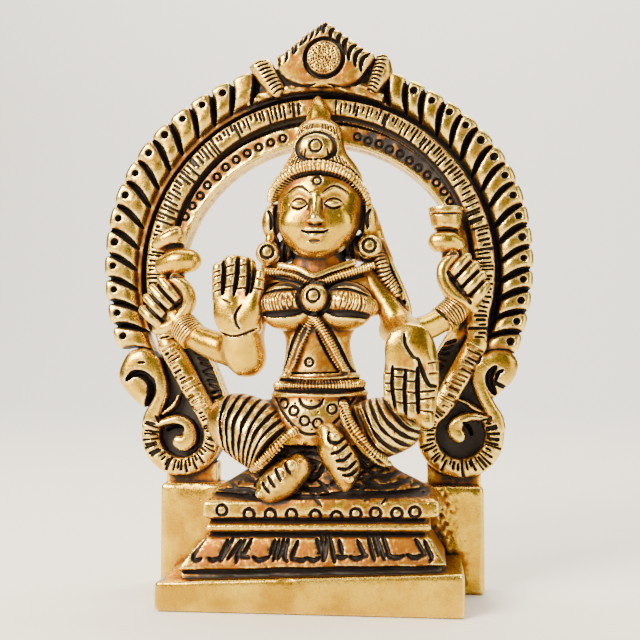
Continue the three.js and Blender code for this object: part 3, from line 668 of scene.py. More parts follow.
# The stepped plinth
# In front of the block, in one with it: a plain slab filed smooth, a band of petals that leans
# inwards, a thin roll, a row of ten ringed beads, and the rough cushion the figure sits on.
SLAB = {"left": -31.6, "right": 31.0, "front": -15.0, "low": 6.0, "rise": 0.046, "round": 0.8}
STEPS = [  # z, left end, right end, front
    (4.0, -26.6, 26.4, -12.5), (7.6, -26.6, 26.4, -12.5), (8.4, -27.2, 27.6, -13.5),
    (14.5, -22.0, 24.4, -11.8), (14.9, -21.0, 23.4, -10.7), (15.5, -21.0, 23.4, -10.7),
    (15.9, -21.6, 24.4, -12.0), (17.2, -21.6, 24.4, -12.0), (17.6, -21.0, 23.4, -10.6),
    (18.2, -21.0, 23.4, -10.6), (18.6, -22.2, 26.0, -11.9), (21.7, -22.2, 26.0, -11.7),
    (22.3, -21.2, 25.0, -10.6),
]
CUSHION = [  # z, middle x, middle y, half width, half depth
    (20.0, 2.0, -2.0, 25.0, 10.2), (23.0, 2.0, -2.0, 24.0, 9.8), (25.4, 2.0, -1.6, 20.5, 8.6),
    (28.4, 1.4, -1.2, 15.5, 7.8), (33.0, 1.0, -1.0, 12.0, 7.0),
]
PETAL_STROKES = [
    [(-21.7, 14.4), (-22.9, 13.0), (-24.0, 11.0), (-23.5, 10.1), (-22.2, 10.5)],
    [(-20.8, 10.6), (-19.9, 10.2), (-18.6, 10.7)], [(-17.0, 14.3), (-17.7, 12.4), (-18.6, 10.4)],
    [(-15.9, 14.5), (-17.0, 12.4), (-18.3, 10.0)], [(-14.3, 14.2), (-15.2, 12.7), (-16.8, 10.5)],
    [(-13.4, 14.3), (-14.8, 11.6), (-15.0, 9.9)],
    [(-12.0, 14.5), (-13.4, 11.9), (-14.1, 11.2), (-12.3, 10.9)],
    [(-11.6, 11.1), (-10.3, 10.4), (-8.3, 11.1)], [(-7.2, 14.4), (-7.6, 13.1), (-8.1, 11.5)],
    [(-6.3, 14.4), (-6.8, 12.6), (-7.4, 10.4)], [(-5.4, 14.6), (-5.7, 12.7), (-6.5, 10.7)],
    [(-4.5, 14.6), (-5.2, 11.4), (-4.5, 10.3)], [(-2.5, 14.2), (-3.6, 11.2), (-2.9, 10.5)],
    [(-2.9, 10.8), (-1.6, 10.5), (-0.7, 11.0)], [(-0.4, 11.0), (0.8, 10.6), (2.1, 11.2)],
    [(1.3, 14.7), (2.1, 12.5), (1.8, 12.0)], [(2.3, 15.1), (2.7, 12.7), (2.8, 10.5)],
    [(3.3, 15.0), (3.3, 12.7), (3.0, 10.7)], [(4.0, 15.0), (4.6, 12.5), (5.1, 10.3)],
    [(5.9, 14.6), (6.2, 13.3), (6.6, 12.0)], [(5.4, 11.6), (6.4, 11.2), (7.6, 11.6)],
    [(8.1, 11.5), (9.4, 11.1), (11.6, 11.9)], [(9.6, 14.6), (10.9, 12.1), (11.6, 11.6)],
    [(11.8, 15.2), (12.4, 13.1), (13.1, 10.9)], [(12.9, 15.3), (13.6, 13.2), (13.9, 11.7)],
    [(13.5, 15.3), (14.4, 12.9), (15.1, 11.0)], [(14.8, 15.2), (15.6, 13.0), (16.1, 12.0)],
    [(15.4, 12.0), (17.1, 11.4), (19.1, 11.9)], [(19.6, 12.1), (21.1, 11.5), (23.1, 12.2)],
    [(21.3, 15.0), (22.5, 13.1), (23.3, 12.1)], [(23.1, 14.8), (23.8, 13.1), (24.5, 11.7), (24.1, 10.9)],
]
BEADS = [(-18.3, 20.2), (-12.6, 19.5), (-8.2, 19.5), (-3.8, 19.6), (1.1, 19.5), (5.4, 19.3), (9.3, 19.9),
         (13.3, 20.1), (17.6, 20.1), (21.2, 20.4)]


def blend_in(clay, part, gap, soft, ink=0.0):
    """Presses another form onto the clay, its seam smoothed over."""
    old = clay.d[part]
    meet = np.maximum(soft - np.abs(old - gap), 0) / soft
    clay.ink[part] = np.where(gap < old, ink, clay.ink[part])
    clay.d[part] = np.maximum(np.minimum(old, gap) - meet * meet * soft / 4, -FAR)


def region(clay, low, high):
    """The part of the grid round two corners, with its coordinates."""
    part = tuple(clay.span(i, low[i] - FAR, high[i] + FAR) for i in range(3))
    return part, clay.x[part[0]], clay.y[:, part[1]], clay.z[:, :, part[2]]


def egg(clay, centre, radii, lean, soft):
    """An egg with three half axes, its top leaning to the right by degrees."""
    reach = max(radii)
    part, x, y, z = region(clay, [c - reach for c in centre], [c + reach for c in centre])
    turn = math.radians(lean)
    dx, dz = x - centre[0], z - centre[2]
    u = (dx * math.cos(turn) - dz * math.sin(turn)) / radii[0]
    v = (y - centre[1]) / radii[1]
    w = (dx * math.sin(turn) + dz * math.cos(turn)) / radii[2]
    out = np.sqrt(u * u + v * v + w * w)
    slope = np.sqrt((u / radii[0]) ** 2 + (v / radii[1]) ** 2 + (w / radii[2]) ** 2) + 1e-4
    blend_in(clay, part, out * (out - 1) / slope, soft)


def tower(clay, rows, soft):
    """A form of upright levels: height, middle x and y, half width and half depth."""
    rows = smooth_path(rows, 6)
    wide = rows[:, 3].max()
    deep = rows[:, 4].max()
    low = (rows[:, 1].min() - wide, rows[:, 2].min() - deep, rows[0, 0])
    part, x, y, z = region(clay, low, (rows[:, 1].max() + wide, rows[:, 2].max() + deep, rows[-1, 0]))
    mid_x, mid_y, half, thick = [np.interp(z, rows[:, 0], rows[:, k]) for k in range(1, 5)]
    out = np.sqrt(((x - mid_x) / half) ** 2 + ((y - mid_y) / thick) ** 2)
    slope = np.sqrt(((x - mid_x) / half**2) ** 2 + ((y - mid_y) / thick**2) ** 2) + 1e-4
    gap = np.maximum(out * (out - 1) / slope, np.maximum(rows[0, 0] - z, z - rows[-1, 0]))
    blend_in(clay, part, gap, soft)


def carve(clay):
    """Carries the drawn cuts into the surfaces that face the front, and clears the drawing."""
    columns = np.argwhere(clay.cuts > 0.02)
    if not len(columns):
        return
    (i0, j0), (i1, j1) = columns.min(0), columns.max(0) + 1
    part = (slice(max(i0 - 2, 0), i1 + 2), slice(None), slice(max(j0 - 2, 0), j1 + 2))
    d = clay.d[part]
    slopes = np.gradient(d)
    steep = np.sqrt(slopes[0] ** 2 + slopes[1] ** 2 + slopes[2] ** 2) + 1e-6
    facing = np.clip(-slopes[1] / steep * 1.6, 0, 1)
    ink = clay.cuts[part[0], None, part[2]] * facing
    clay.ink[part] = np.maximum(clay.ink[part], np.where(np.abs(d) < 1.2, ink, 0))
    clay.d[part] = np.minimum(d + ink, FAR)
    clay.cuts[:] = 0


plinth = Clay((-32.4, -15.8, -0.8), (31.8, 8.6, 34.4), 0.24)
x, y, z = plinth.x, plinth.y, plinth.z
slab_top = SLAB["low"] + SLAB["rise"] * (x - SLAB["left"])
slab = rounded([np.maximum(SLAB["left"] - x, x - SLAB["right"]), SLAB["front"] - y,
                np.maximum(-z, z - slab_top)], SLAB["round"])
slope = np.interp(z, [8, 14], [0.035, 0.015]) * (x + 27)
step_z, step_left, step_right, step_front = np.array(STEPS).T
level = z - slope
left, right, front = [np.interp(level, step_z, run) for run in (step_left, step_right, step_front)]
steps = np.maximum(np.maximum(left - x, x - right), np.maximum(front - y, np.abs(level - 13.0) - 9.3))
plinth.d = np.clip(np.maximum(np.minimum(slab, steps * 0.85), y - 8.0), -FAR, FAR).astype(np.float32)
plinth.d = blurred(plinth.d, 1)
tower(plinth, CUSHION, 1.0)
for stroke in PETAL_STROKES:
    plinth.groove(stroke, 1.0, 1.0, taper=0.5)
for x, z in BEADS:
    plinth.ring(x, z, 1.08, 0.62, 0.8)
for level, rise in ((7.6, 0.04), (15.1, 0.015), (17.9, 0.015), (22.6, 0.02)):
    ends = [(x, level + rise * (x + 27) + chance.uniform(-0.12, 0.12)) for x in np.linspace(-26, 27, 14)]
    ends = [end for end in ends if level < 8 or -22.5 < end[0] < 25.5]
    plinth.groove(ends, 1.2 if level < 8 else 0.95, 0.9, taper=0.3)
carve(plinth)
for ridge in ([(-20.5, 23.4), (-14.0, 24.0), (-9.0, 23.2), (-2.0, 23.6)],
              [(-18.5, 25.2), (-15.0, 26.4), (-12.0, 25.6)],
              [(-16.0, 27.6), (-13.6, 28.6), (-11.8, 28.0)],
              [(2.0, 23.5), (9.0, 23.9), (16.0, 23.7), (24.0, 24.4)],
              [(10.4, 26.2), (13.6, 25.0), (17.6, 25.4), (20.6, 26.4)],
              [(11.6, 28.0), (14.6, 26.9), (18.4, 27.6)], [(-21.0, 22.9), (-12.0, 22.6), (-8.0, 22.8)],
              [(-3.4, 25.6), (0.4, 24.4), (3.6, 25.4)],
              [(-2.0, 29.0), (-0.6, 26.4), (1.4, 27.4), (3.0, 30.6)],
              [(9.6, 30.4), (11.4, 28.6), (13.2, 29.8)]):
    plinth.groove(ridge, 1.1, 1.2, taper=0.7)
for _ in range(90):
    x, z = chance.uniform(-21, 24), chance.uniform(22.8, 32)
    turn, long = chance.uniform(-0.9, 0.9), chance.uniform(0.8, 2.6)
    dx, dz = long * math.cos(turn), long * math.sin(turn)
    plinth.groove([(x - dx, z - dz), (x + chance.uniform(-0.3, 0.3), z), (x + dx, z + dz)],
                  chance.uniform(0.5, 1.0), chance.uniform(0.5, 1.0))
carve(plinth)
skin = uneven(plinth.x + 0.6 * plinth.y, plinth.z, 1.1, 41) + 0.5 * uneven(plinth.x, plinth.z, 0.7, 42)
torn = np.clip((plinth.z - 7) / 2, 0, 1) * (0.35 + 0.65 * (plinth.z > 22))
plinth.d += 0.09 * skin * torn
# Above the slab the plinth takes a darker tone, more in the petal band and most on the cushion under the
# legs.
darker_by_height = 0.2 * np.clip((plinth.z - 22.4) / 1.5, 0, 1) + 0.12 * np.clip((plinth.z - 7.5) / 1.0, 0, 1)
darker_by_height = darker_by_height + 0.09 * (plinth.z > 8) * np.clip((15.5 - plinth.z) / 0.6, 0, 1)
plinth.ink += (0.3 * np.maximum(skin - 0.5, 0) * torn + darker_by_height * (0.7 + 0.6 * skin)).astype(np.float32)
cast(plinth, "stepped_plinth", 110000)

# The crossed legs
# The figure sits cross-legged, cast in one with the cushion. The cloth lies round each shin in thick
# folds that were cut deep, and ends at a ribbed hem above the foot; the toes are cut as pads.
FOLDS_LEFT = {"x": -16.4, "z": 22.5, "first": 94.5, "pitch": -6.4, "count": 8, "bow": (6.0, 12.5, 8.0)}
FOLDS_RIGHT = {"x": -8.5, "z": 70.7, "first": -58.4, "pitch": 2.45, "count": 7, "bow": (-1.8, 40.0, 6.0)}
HEM = (0.66, 0.4, 0.5, 0.0, 40.0)
HEM_LEFT = [(-12.2, -9.6, 28.4, 1.0), (-9.9, -12.4, 30.3, 1.15), (-7.2, -13.4, 32.9, 1.15),
            (-4.6, -12.6, 35.4, 1.1), (-2.6, -9.8, 37.0, 1.0)]
HEM_RIGHT = [(6.6, -9.6, 42.0, 1.0), (7.8, -11.8, 38.9, 1.15), (9.9, -13.0, 35.8, 1.15),
             (12.7, -12.4, 32.3, 1.1), (15.2, -9.8, 30.6, 1.0)]
SOLE_EDGE = [(6.6, -9.8, 41.2, 0.8), (7.2, -11.4, 38.6, 0.9), (10.1, -12.0, 34.2, 0.9),
             (13.3, -11.4, 31.0, 0.9), (15.8, -9.6, 29.8, 0.8)]
LEFT_TOES = [(-3.7, 29.5, 1.5), (-5.8, 28.0, 1.35), (-7.4, 26.5, 1.25), (-8.8, 25.2, 1.15),
             (-10.1, 23.9, 1.0)]
MIDDLE_TOES = [(5.1, 35.3, 1.35), (5.7, 33.1, 1.3), (6.9, 31.3, 1.25), (7.7, 29.3, 1.15), (8.1, 27.2, 1.05)]
LEFT_TOE_GAPS = [
    [(-4.9, 30.2), (-4.5, 29.1), (-3.8, 28.1)], [(-6.9, 28.9), (-6.3, 27.8), (-5.7, 26.7)],
    [(-8.4, 27.4), (-7.7, 26.4), (-6.9, 25.4)], [(-9.6, 26.1), (-8.9, 25.1), (-8.1, 24.2)],
]
MIDDLE_TOE_GAPS = [
    [(4.0, 36.4), (4.1, 34.9), (5.6, 34.3), (7.2, 35.3)], [(4.6, 32.2), (6.0, 32.6), (7.7, 34.0)],
    [(5.6, 30.8), (7.1, 31.0), (8.5, 32.2)], [(5.9, 29.2), (7.8, 29.2), (9.4, 30.6)],
    [(6.9, 27.9), (8.4, 28.0), (10.1, 29.3)],
]


def fan_of_folds(x, z, fan):
    """How deep the cloth is cut between its folds, which spread like a fan from one point."""
    out = np.hypot(x - fan["x"], z - fan["z"])
    turn = np.degrees(np.arctan2(z - fan["z"], x - fan["x"]))
    bow, middle, reach = fan["bow"]
    turn = turn - bow * (1 - ((out - middle) / reach) ** 2)
    place = (turn - fan["first"]) / fan["pitch"] + 0.11 * uneven(x, z, 6, 51)
    pitch = np.radians(abs(fan["pitch"])) * out
    nearest = np.clip(np.round(place), 0, fan["count"] - 1)
    share = np.minimum(pitch / 1.7, 1)
    width = (0.42 + 0.16 * uneven(x, z, 4, 57)) * pitch
    deep = tool_mark((place - nearest) * pitch, width, 1.15 * share)
    split = tool_mark((place - nearest - 0.42) * pitch, 0.3, 0.3 * share)
    split = split * np.clip(2 * uneven(x, z, 8, 59), 0, 1)
    return np.maximum(deep, split)


def limb(clay, knots, soft=0.6, folds=None, fan=None, flat_ends=0):
    """A limb through knots of x, y, z and radius; folds are spacing, width, depth, first and last."""
    path = smooth_path(knots, 4)
    p, r = path[:, :3], path[:, 3]
    part, x, y, z = region(clay, (p - r[:, None]).min(0), (p + r[:, None]).max(0))
    shape = clay.d[part].shape
    gap, where, front = (np.full(shape, value, np.float32) for value in (1e3, 0.0, 0.0))
    start = 0.0
    for a, b, ra, rb in zip(p[:-1], p[1:], r[:-1], r[1:]):
        run = b - a
        length = float(np.linalg.norm(run))
        if length < 1e-5:
            continue
        t = ((x - a[0]) * run[0] + (y - a[1]) * run[1] + (z - a[2]) * run[2]) / length**2
        t = np.clip(t, 0, 1).astype(np.float32)
        off = (x - a[0] - t * run[0]) ** 2 + (y - a[1] - t * run[1]) ** 2 + (z - a[2] - t * run[2]) ** 2
        off = np.sqrt(off) - ra - (rb - ra) * t
        near = off < gap
        gap = np.where(near, off, gap)
        where = np.where(near, start + t * length, where)
        front = np.where(near, (a[1] + t * run[1] - y) / (ra + (rb - ra) * t), front)
        start += length
    for end, before in ((p[-1], p[-3]), (p[0], p[2]))[:flat_ends]:
        ahead = (end - before) / np.linalg.norm(end - before)
        gap = np.maximum(gap, (x - end[0]) * ahead[0] + (y - end[1]) * ahead[1] + (z - end[2]) * ahead[2])
    ink = 0.0
    if folds:
        pitch, width, depth, first, last = folds
        warped = where + 0.3 * uneven(x + 0.5 * y, z, 5, 51) - first
        off = np.abs(warped / pitch - np.round(warped / pitch)) * pitch
        cut_here = (warped > -0.5 * pitch) & (warped < last - first + 0.5 * pitch)
        ink = tool_mark(off, width, depth) * cut_here
        gap = gap + ink
    if fan:
        ink = fan_of_folds(x, z, fan) * np.clip(2.2 * front - 0.1, 0, 1)
        gap = gap + ink
    if folds or fan:
        ink = np.where(np.abs(gap - ink * 0.5) < 1.3, ink, 0)
    blend_in(clay, part, gap, soft, ink)


legs = Clay((-25.0, -15.4, 19.8), (25.0, 3.5, 48.6), 0.2)
limb(legs, [(-1.0, -3.4, 38.6, 5.4), (-8.0, -3.2, 38.4, 4.6), (-14.0, -3.2, 38.0, 3.8)], 1.2)
limb(legs, [(3.0, -3.4, 38.4, 5.4), (9.0, -3.2, 37.6, 4.6), (14.4, -3.2, 37.0, 3.8)], 1.2)
SHIN_LEFT = [(-18.4, -3.6, 37.8, 4.6), (-16.6, -4.8, 37.8, 6.2), (-12.6, -6.6, 35.9, 7.0),
             (-7.9, -9.0, 32.3, 6.0)]
SHIN_RIGHT = [(19.0, -3.8, 37.0, 4.0), (16.8, -4.8, 37.4, 5.8), (13.4, -6.8, 36.8, 6.4),
              (10.2, -8.8, 35.8, 6.0)]
limb(legs, SHIN_LEFT, 0.4, fan=FOLDS_LEFT, flat_ends=1)
limb(legs, SHIN_RIGHT, 0.4, fan=FOLDS_RIGHT, flat_ends=1)
limb(legs, HEM_LEFT, 0.3, HEM)
limb(legs, HEM_RIGHT, 0.3, HEM)
limb(legs, SOLE_EDGE, 0.3)
for start, end in (((-2.2, 36.6), (-7.2, 31.6)), ((-7.2, 31.6), (-12.2, 27.6)), ((6.2, 41.4), (8.8, 36.0)),
                   ((8.8, 36.0), (15.0, 29.6))):
    legs.groove([start, end], 0.7, 1.0, taper=0.2, smooth=False)
carve(legs)

# The left foot lies on its side under the hem, the middle one stands on its toes in front.
limb(legs, [(-2.8, -10.4, 28.9, 3.0), (-5.6, -10.8, 26.6, 3.7), (-8.2, -10.8, 24.7, 3.1)], 0.3)
limb(legs, [(3.4, -10.4, 36.2, 2.4), (4.8, -11.0, 33.0, 3.4), (6.7, -11.2, 29.6, 3.4),
            (7.2, -11.4, 26.6, 1.9), (7.1, -11.4, 24.9, 0.8)], 0.3)
for x, z, r in LEFT_TOES:
    egg(legs, (x, -13.2, z), (r, 1.0, r * 0.9), -35, 0.35)
for x, z, r in MIDDLE_TOES:
    egg(legs, (x, -13.7, z), (r, 0.9, r * 0.9), 25, 0.35)
for gap in LEFT_TOE_GAPS + MIDDLE_TOE_GAPS:
    legs.groove(gap, 0.75, 1.0, taper=0.4)
for x, z, r in LEFT_TOES + MIDDLE_TOES:
    legs.ring(x, z, r * 0.62, 0.26, 0.16)
carve(legs)
legs.ink += 0.07
cast(legs, "crossed_legs", 120000)

# The body
# Slim waist, round breasts under a fine ribbed band with a medallion, two necklaces, ribbed sashes
# that cross over the belly, and a belt with a beaded apron; the folds were cut with a fine graver.
TORSO = [  # z, middle x, middle y, half width, half depth
    (33.0, 0.6, -3.4, 10.4, 6.6), (40.0, 0.9, -3.6, 11.0, 6.6), (43.4, 1.1, -3.6, 10.0, 6.2),
    (44.4, 1.1, -3.7, 9.9, 6.6), (46.4, 1.1, -3.7, 9.1, 6.1), (47.6, 1.1, -3.6, 8.2, 5.3),
    (54.5, 0.7, -3.4, 6.9, 4.8), (58.0, 0.8, -3.4, 8.2, 5.0), (63.0, 0.9, -3.4, 11.2, 5.2),
    (67.0, 1.0, -3.0, 12.8, 5.0), (69.6, 1.0, -2.4, 12.0, 4.4), (71.4, 1.0, -2.4, 7.0, 3.8),
    (74.0, 1.0, -2.6, 4.9, 4.2), (78.0, 1.0, -2.6, 4.6, 4.2),
]
APRON_BEADS = [(-5.8, 42.0), (-3.5, 40.6), (4.4, 41.0), (6.7, 42.3), (-1.2, 38.6), (1.5, 38.1)]
MEDALLION = (0.7, 63.9, 2.9)

body = Clay((-14.0, -14.6, 33.4), (22.4, 5.0, 79.4), 0.18)
tower(body, TORSO, 0.4)
limb(body, [(10.6, -0.8, 77.0, 1.8), (12.4, -0.6, 73.5, 2.3), (14.8, -0.8, 69.5, 2.5),
            (17.2, -1.2, 65.2, 2.1), (18.8, -1.6, 61.4, 1.6)], 0.5)
for x in (-5.4, 7.0):
    egg(body, (x, -7.6, 62.3), (5.8, 4.0, 5.2), 0, 0.5)
limb(body, [(-10.8, -5.4, 62.6, 1.9), (-8.6, -9.2, 62.8, 2.15), (-5.4, -10.6, 63.0, 2.2),
            (-2.4, -9.8, 63.5, 1.9), (0.7, -9.2, 63.9, 1.5), (4.0, -9.8, 63.5, 1.9),
            (7.0, -10.6, 63.0, 2.2), (10.2, -9.2, 62.4, 2.15), (12.4, -5.4, 62.0, 1.9)],
            0.3, (0.62, 0.3, 0.38, 1.2, 27.0))
egg(body, (0.6, -8.0, 38.6), (8.4, 3.6, 6.6), 0, 0.6)
FINE = (0.6, 0.32, 0.35, 0.0, 60.0)
for knots in ([(0.1, -8.4, 60.2, 1.1), (-2.6, -8.4, 54.6, 1.05), (-4.0, -8.6, 51.0, 1.0),
               (-5.2, -8.8, 48.2, 0.9)],
              [(0.3, -8.6, 60.2, 1.2), (3.1, -8.6, 55.6, 1.2), (5.2, -8.6, 51.4, 1.15),
               (7.2, -8.4, 48.2, 1.0)],
              [(-10.2, -5.2, 69.8, 0.9), (-6.0, -6.9, 69.5, 0.9), (-2.6, -7.7, 68.4, 0.9),
               (0.8, -8.2, 66.9, 1.0), (4.6, -7.8, 68.2, 1.0), (8.8, -6.8, 69.6, 1.0),
               (12.8, -4.9, 71.0, 0.9)]):
    limb(body, knots, 0.3, FINE)
limb(body, [(-7.0, -6.2, 71.0, 0.8), (-3.1, -7.2, 70.2, 0.8), (0.2, -8.0, 68.6, 0.8),
            (3.4, -7.3, 69.7, 0.8), (8.4, -5.8, 71.6, 0.8)], 0.3)
for low, r, folds in ((47.5, 0.7, None), (45.7, 1.15, (0.62, 0.34, 0.4, 0.0, 60.0)), (43.9, 0.75, None)):
    ring = [(1.1 + 9.6 * math.sin(t), -3.7 - 6.4 * math.cos(t), low + 0.25 * math.sin(t), r)
            for t in np.linspace(-1.5, 1.5, 9)]
    ring = [(x - np.sign(x - 1.1) * (low - 44) * 0.45 * abs(math.sin((x - 1.1) / 6.5)), y, z, r)
            for x, y, z, r in ring]
    limb(body, ring, 0.25, folds)
x, z, r = MEDALLION
egg(body, (x, -11.0, z), (r, 2.2, r), 0, 0.3)
for path, width, depth in (
        ([(-6.9, 46.9), (-0.6, 46.5), (6.3, 46.6), (9.6, 47.0)], 0.85, 0.9),
        ([(-8.2, 44.9), (-0.5, 44.7), (6.4, 44.6), (10.8, 45.0)], 1.0, 1.0),
        ([(-6.2, 48.2), (-0.6, 47.9), (6.0, 48.1), (8.8, 48.6)], 0.85, 0.9),
        ([(-1.2, 57.6), (-3.4, 53.6), (-4.6, 49.4), (-5.6, 48.6)], 0.9, 1.0),
        ([(1.2, 56.8), (3.1, 53.2), (4.9, 50.2), (6.0, 48.4)], 1.1, 1.1),
        ([(-2.4, 58.4), (-4.4, 54.6), (-5.6, 50.6), (-6.6, 48.4)], 0.6, 0.8),
        ([(3.0, 58.4), (5.2, 54.4), (7.2, 50.2), (8.6, 48.2)], 0.7, 0.8),
        ([(-9.6, 66.6), (-7.2, 67.0), (-4.4, 66.8), (-2.4, 65.8)], 0.9, 0.9),
        ([(3.6, 66.0), (6.4, 66.9), (9.4, 66.6), (11.9, 65.0)], 0.9, 0.9),
        ([(-9.9, 64.9), (-6.8, 65.5), (-2.6, 65.6)], 0.5, 0.7),
        ([(4.0, 65.6), (7.9, 65.5), (12.0, 64.2)], 0.5, 0.7),
        ([(-9.8, 60.6), (-6.6, 60.5), (-3.0, 60.9), (-1.8, 61.4)], 1.2, 1.1),
        ([(3.4, 61.2), (5.2, 60.6), (8.2, 60.5), (12.2, 60.0)], 1.2, 1.1),
        ([(-7.4, 70.2), (-3.4, 69.3), (0.2, 67.7), (4.0, 69.0), (9.2, 70.6)], 0.6, 0.8),
        ([(-8.8, 68.4), (-4.2, 67.4), (-1.2, 66.2)], 0.5, 0.7),
        ([(3.0, 66.2), (5.8, 67.3), (9.8, 68.6), (12.8, 69.8)], 0.5, 0.7)):
    body.groove(path, 1.3 * width, 1.1 * depth, taper=0.4)
body.ring(MEDALLION[0], MEDALLION[1], 3.35, 1.0, 1.2)
body.ring(MEDALLION[0], MEDALLION[1] + 0.3, 1.3, 0.55, 0.8)
body.ring(-0.6, 50.6, 0.85, 0.5, 0.7)
body.ring(-0.6, 50.6, 0, 0.5, 0.6)
for x, z in APRON_BEADS:
    body.ring(x, z, 0.95, 0.5, 0.8)
body.groove([(-2.4, 43.0), (-1.6, 41.8), (0.0, 41.2), (1.8, 41.8), (2.6, 43.0)], 0.7, 0.9, taper=0.5)
body.groove([(-7.8, 43.0), (-5.2, 39.4), (-2.4, 36.6), (0.0, 35.8), (2.6, 36.4)], 0.6, 0.8, taper=0.3)
body.groove([(8.8, 43.2), (6.4, 39.8), (3.8, 37.2)], 0.6, 0.8, taper=0.3)
for _ in range(34):
    x, z = chance.uniform(-6.5, 7.5), chance.uniform(36.5, 43)
    if abs(x - 0.4) < 7.8 - 1.1 * (43 - z):
        body.ring(x, z, 0, chance.uniform(0.3, 0.5), 0.5)
carve(body)

# The hair behind the neck in thick strands, the long ribbed tress over the right shoulder, and
# the edge of the veil beside it.
limb(body, [(-8.8, -0.4, 73.4, 2.1), (-4.4, 0.2, 75.6, 2.9), (6.2, 0.2, 75.8, 2.9),
            (11.0, -0.4, 74.2, 2.3)], 0.5)
for x in (-8.2, -6.4, -4.7, 5.9, 7.7, 9.6):
    body.groove([(x * 0.96, 78.4), (x, 75.6), (x * 1.06, 72.6)], 0.95, 1.0, taper=0.5)
limb(body, [(13.2, -3.6, 74.6, 1.3), (14.3, -4.2, 71.4, 1.5), (15.0, -4.4, 69.0, 1.6),
            (16.3, -4.2, 66.7, 1.55), (18.1, -3.8, 64.4, 1.1)], 0.3, (0.78, 0.42, 0.5, 1.4, 60.0))
limb(body, [(14.2, -2.2, 76.4, 0.9), (15.9, -2.4, 71.4, 1.0), (17.7, -2.4, 67.4, 1.05),
            (19.3, -2.4, 63.8, 0.9), (20.0, -2.4, 61.2, 0.8)], 0.3)
body.groove([(12.4, 70.0), (13.2, 67.5), (14.9, 64.9), (16.8, 63.0), (19.2, 61.1)], 1.2, 1.4, taper=0.3)
body.groove([(15.2, 73.4), (16.6, 69.6), (18.2, 66.0), (19.2, 63.0)], 0.7, 1.0, taper=0.3)
carve(body)
body.ink += 0.06 + 0.05 * uneven(body.x, body.z, 5, 61).astype(np.float32)
# Beside the neck, under the jaw and the earrings, the brass is painted darker: painted shade under the
# head.
body.ink += 0.22 * np.clip((np.abs(body.x - 1) - 3.6) / 1.5, 0, 1) * np.clip((body.z - 71.2) / 1.0, 0, 1)
cast(body, "body", 120000)

# The front arms
# Two of the four arms, smooth and polished by handling. The right hand is raised with its palm
# outwards, the left hangs open over the knee; the fingers are parted by deep cuts.
CREASE = (0.42, 0.5)
RAISED_HAND = [(-19.4, 56.4), (-20.5, 60.4), (-21.1, 64.4), (-21.2, 69.6), (-20.4, 71.3), (-19.0, 72.2),
               (-16.8, 73.2), (-14.6, 73.0), (-13.2, 72.6), (-12.2, 71.8), (-11.8, 70.0), (-11.0, 70.5),
               (-10.0, 69.6), (-9.9, 66.4), (-10.1, 63.4), (-10.8, 60.0), (-11.3, 56.6)]
RAISED_FINGERS = [(-19.9, 70.4, 1.25), (-17.15, 71.8, 1.45), (-14.5, 71.6, 1.1), (-12.8, 70.8, 0.7)]
RAISED_CUTS = [
    ([(-18.7, 71.9), (-18.5, 69.2), (-18.8, 64.9)], 1.0, 1.9),
    ([(-15.6, 73.1), (-15.7, 69.2), (-16.4, 64.6)], 0.95, 1.9),
    ([(-13.4, 72.7), (-13.2, 68.7), (-13.6, 64.6)], 0.9, 1.9),
    ([(-12.1, 72.0), (-12.2, 68.7), (-12.7, 65.2)], 0.9, 2.0),
    ([(-14.8, 62.4), (-15.9, 60.6), (-15.7, 58.8), (-15.0, 57.6)], 0.6, 0.7),
    ([(-18.6, 63.7), (-16.8, 62.9)], 0.4, 0.4),
    ([(-19.7, 57.0), (-16.0, 56.0), (-11.4, 57.6)], 0.45, 0.5),
]
RAISED_CREASES = [
    [(-20.7, 69.4), (-19.2, 69.9)], [(-20.7, 68.4), (-19.2, 68.9)], [(-20.8, 66.8), (-19.2, 67.4)],
    [(-20.8, 65.3), (-19.2, 65.8)], [(-18.1, 70.4), (-16.3, 71.0)], [(-18.0, 68.6), (-16.4, 69.1)],
    [(-18.1, 66.3), (-16.5, 66.6)], [(-15.2, 70.7), (-13.6, 71.2)], [(-15.2, 68.4), (-13.7, 68.6)],
    [(-15.7, 66.0), (-13.9, 66.1)], [(-11.5, 68.0), (-10.0, 67.7)], [(-12.0, 66.0), (-10.0, 65.6)],
]
LOWERED_HAND = [(16.7, 56.6), (19.8, 58.8), (23.5, 57.2), (25.5, 53.5), (26.2, 49.8), (26.0, 45.5),
                (25.5, 40.6), (24.6, 37.7), (22.8, 37.0), (20.6, 39.2), (18.2, 39.9), (16.3, 41.8),
                (15.3, 44.2), (15.1, 49.2), (15.8, 52.9)]
LOWERED_FINGERS = [(15.9, 43.6, 0.9), (18.1, 41.3, 1.25), (20.7, 40.3, 1.3), (23.7, 38.6, 1.55)]
LOWERED_CUTS = [
    ([(16.9, 49.8), (16.8, 45.5), (17.6, 40.2)], 0.75, 1.5),
    ([(19.5, 49.1), (19.3, 44.9), (19.5, 39.6)], 0.75, 1.5),
    ([(21.9, 49.5), (21.9, 45.5), (22.0, 40.4)], 0.9, 1.6),
    ([(17.0, 49.2), (19.5, 49.0), (21.6, 48.6)], 0.5, 0.6), ([(22.4, 44.6), (25.3, 44.9)], 0.5, 0.6),
    ([(22.0, 51.4), (22.9, 48.6), (24.1, 46.1), (25.6, 45.7)], 0.9, 1.2),
    ([(19.2, 56.3), (19.5, 54.1), (21.0, 51.7), (22.1, 51.3)], 0.7, 0.9),
]
LOWERED_CREASES = [
    [(15.3, 48.4), (16.6, 48.3)], [(15.3, 46.4), (16.6, 46.3)], [(15.5, 44.9), (16.9, 44.6)],
    [(17.2, 47.7), (19.0, 47.6)], [(17.2, 45.2), (19.0, 45.0)], [(17.3, 42.7), (19.2, 42.3)],
    [(19.8, 46.7), (21.6, 46.7)], [(19.8, 44.6), (21.6, 44.4)], [(19.9, 42.3), (21.8, 42.4)],
    [(22.4, 43.1), (25.3, 43.5)], [(22.5, 40.9), (25.0, 40.6)], [(23.9, 50.3), (25.8, 50.6)],
    [(24.2, 48.3), (25.8, 48.4)],
]


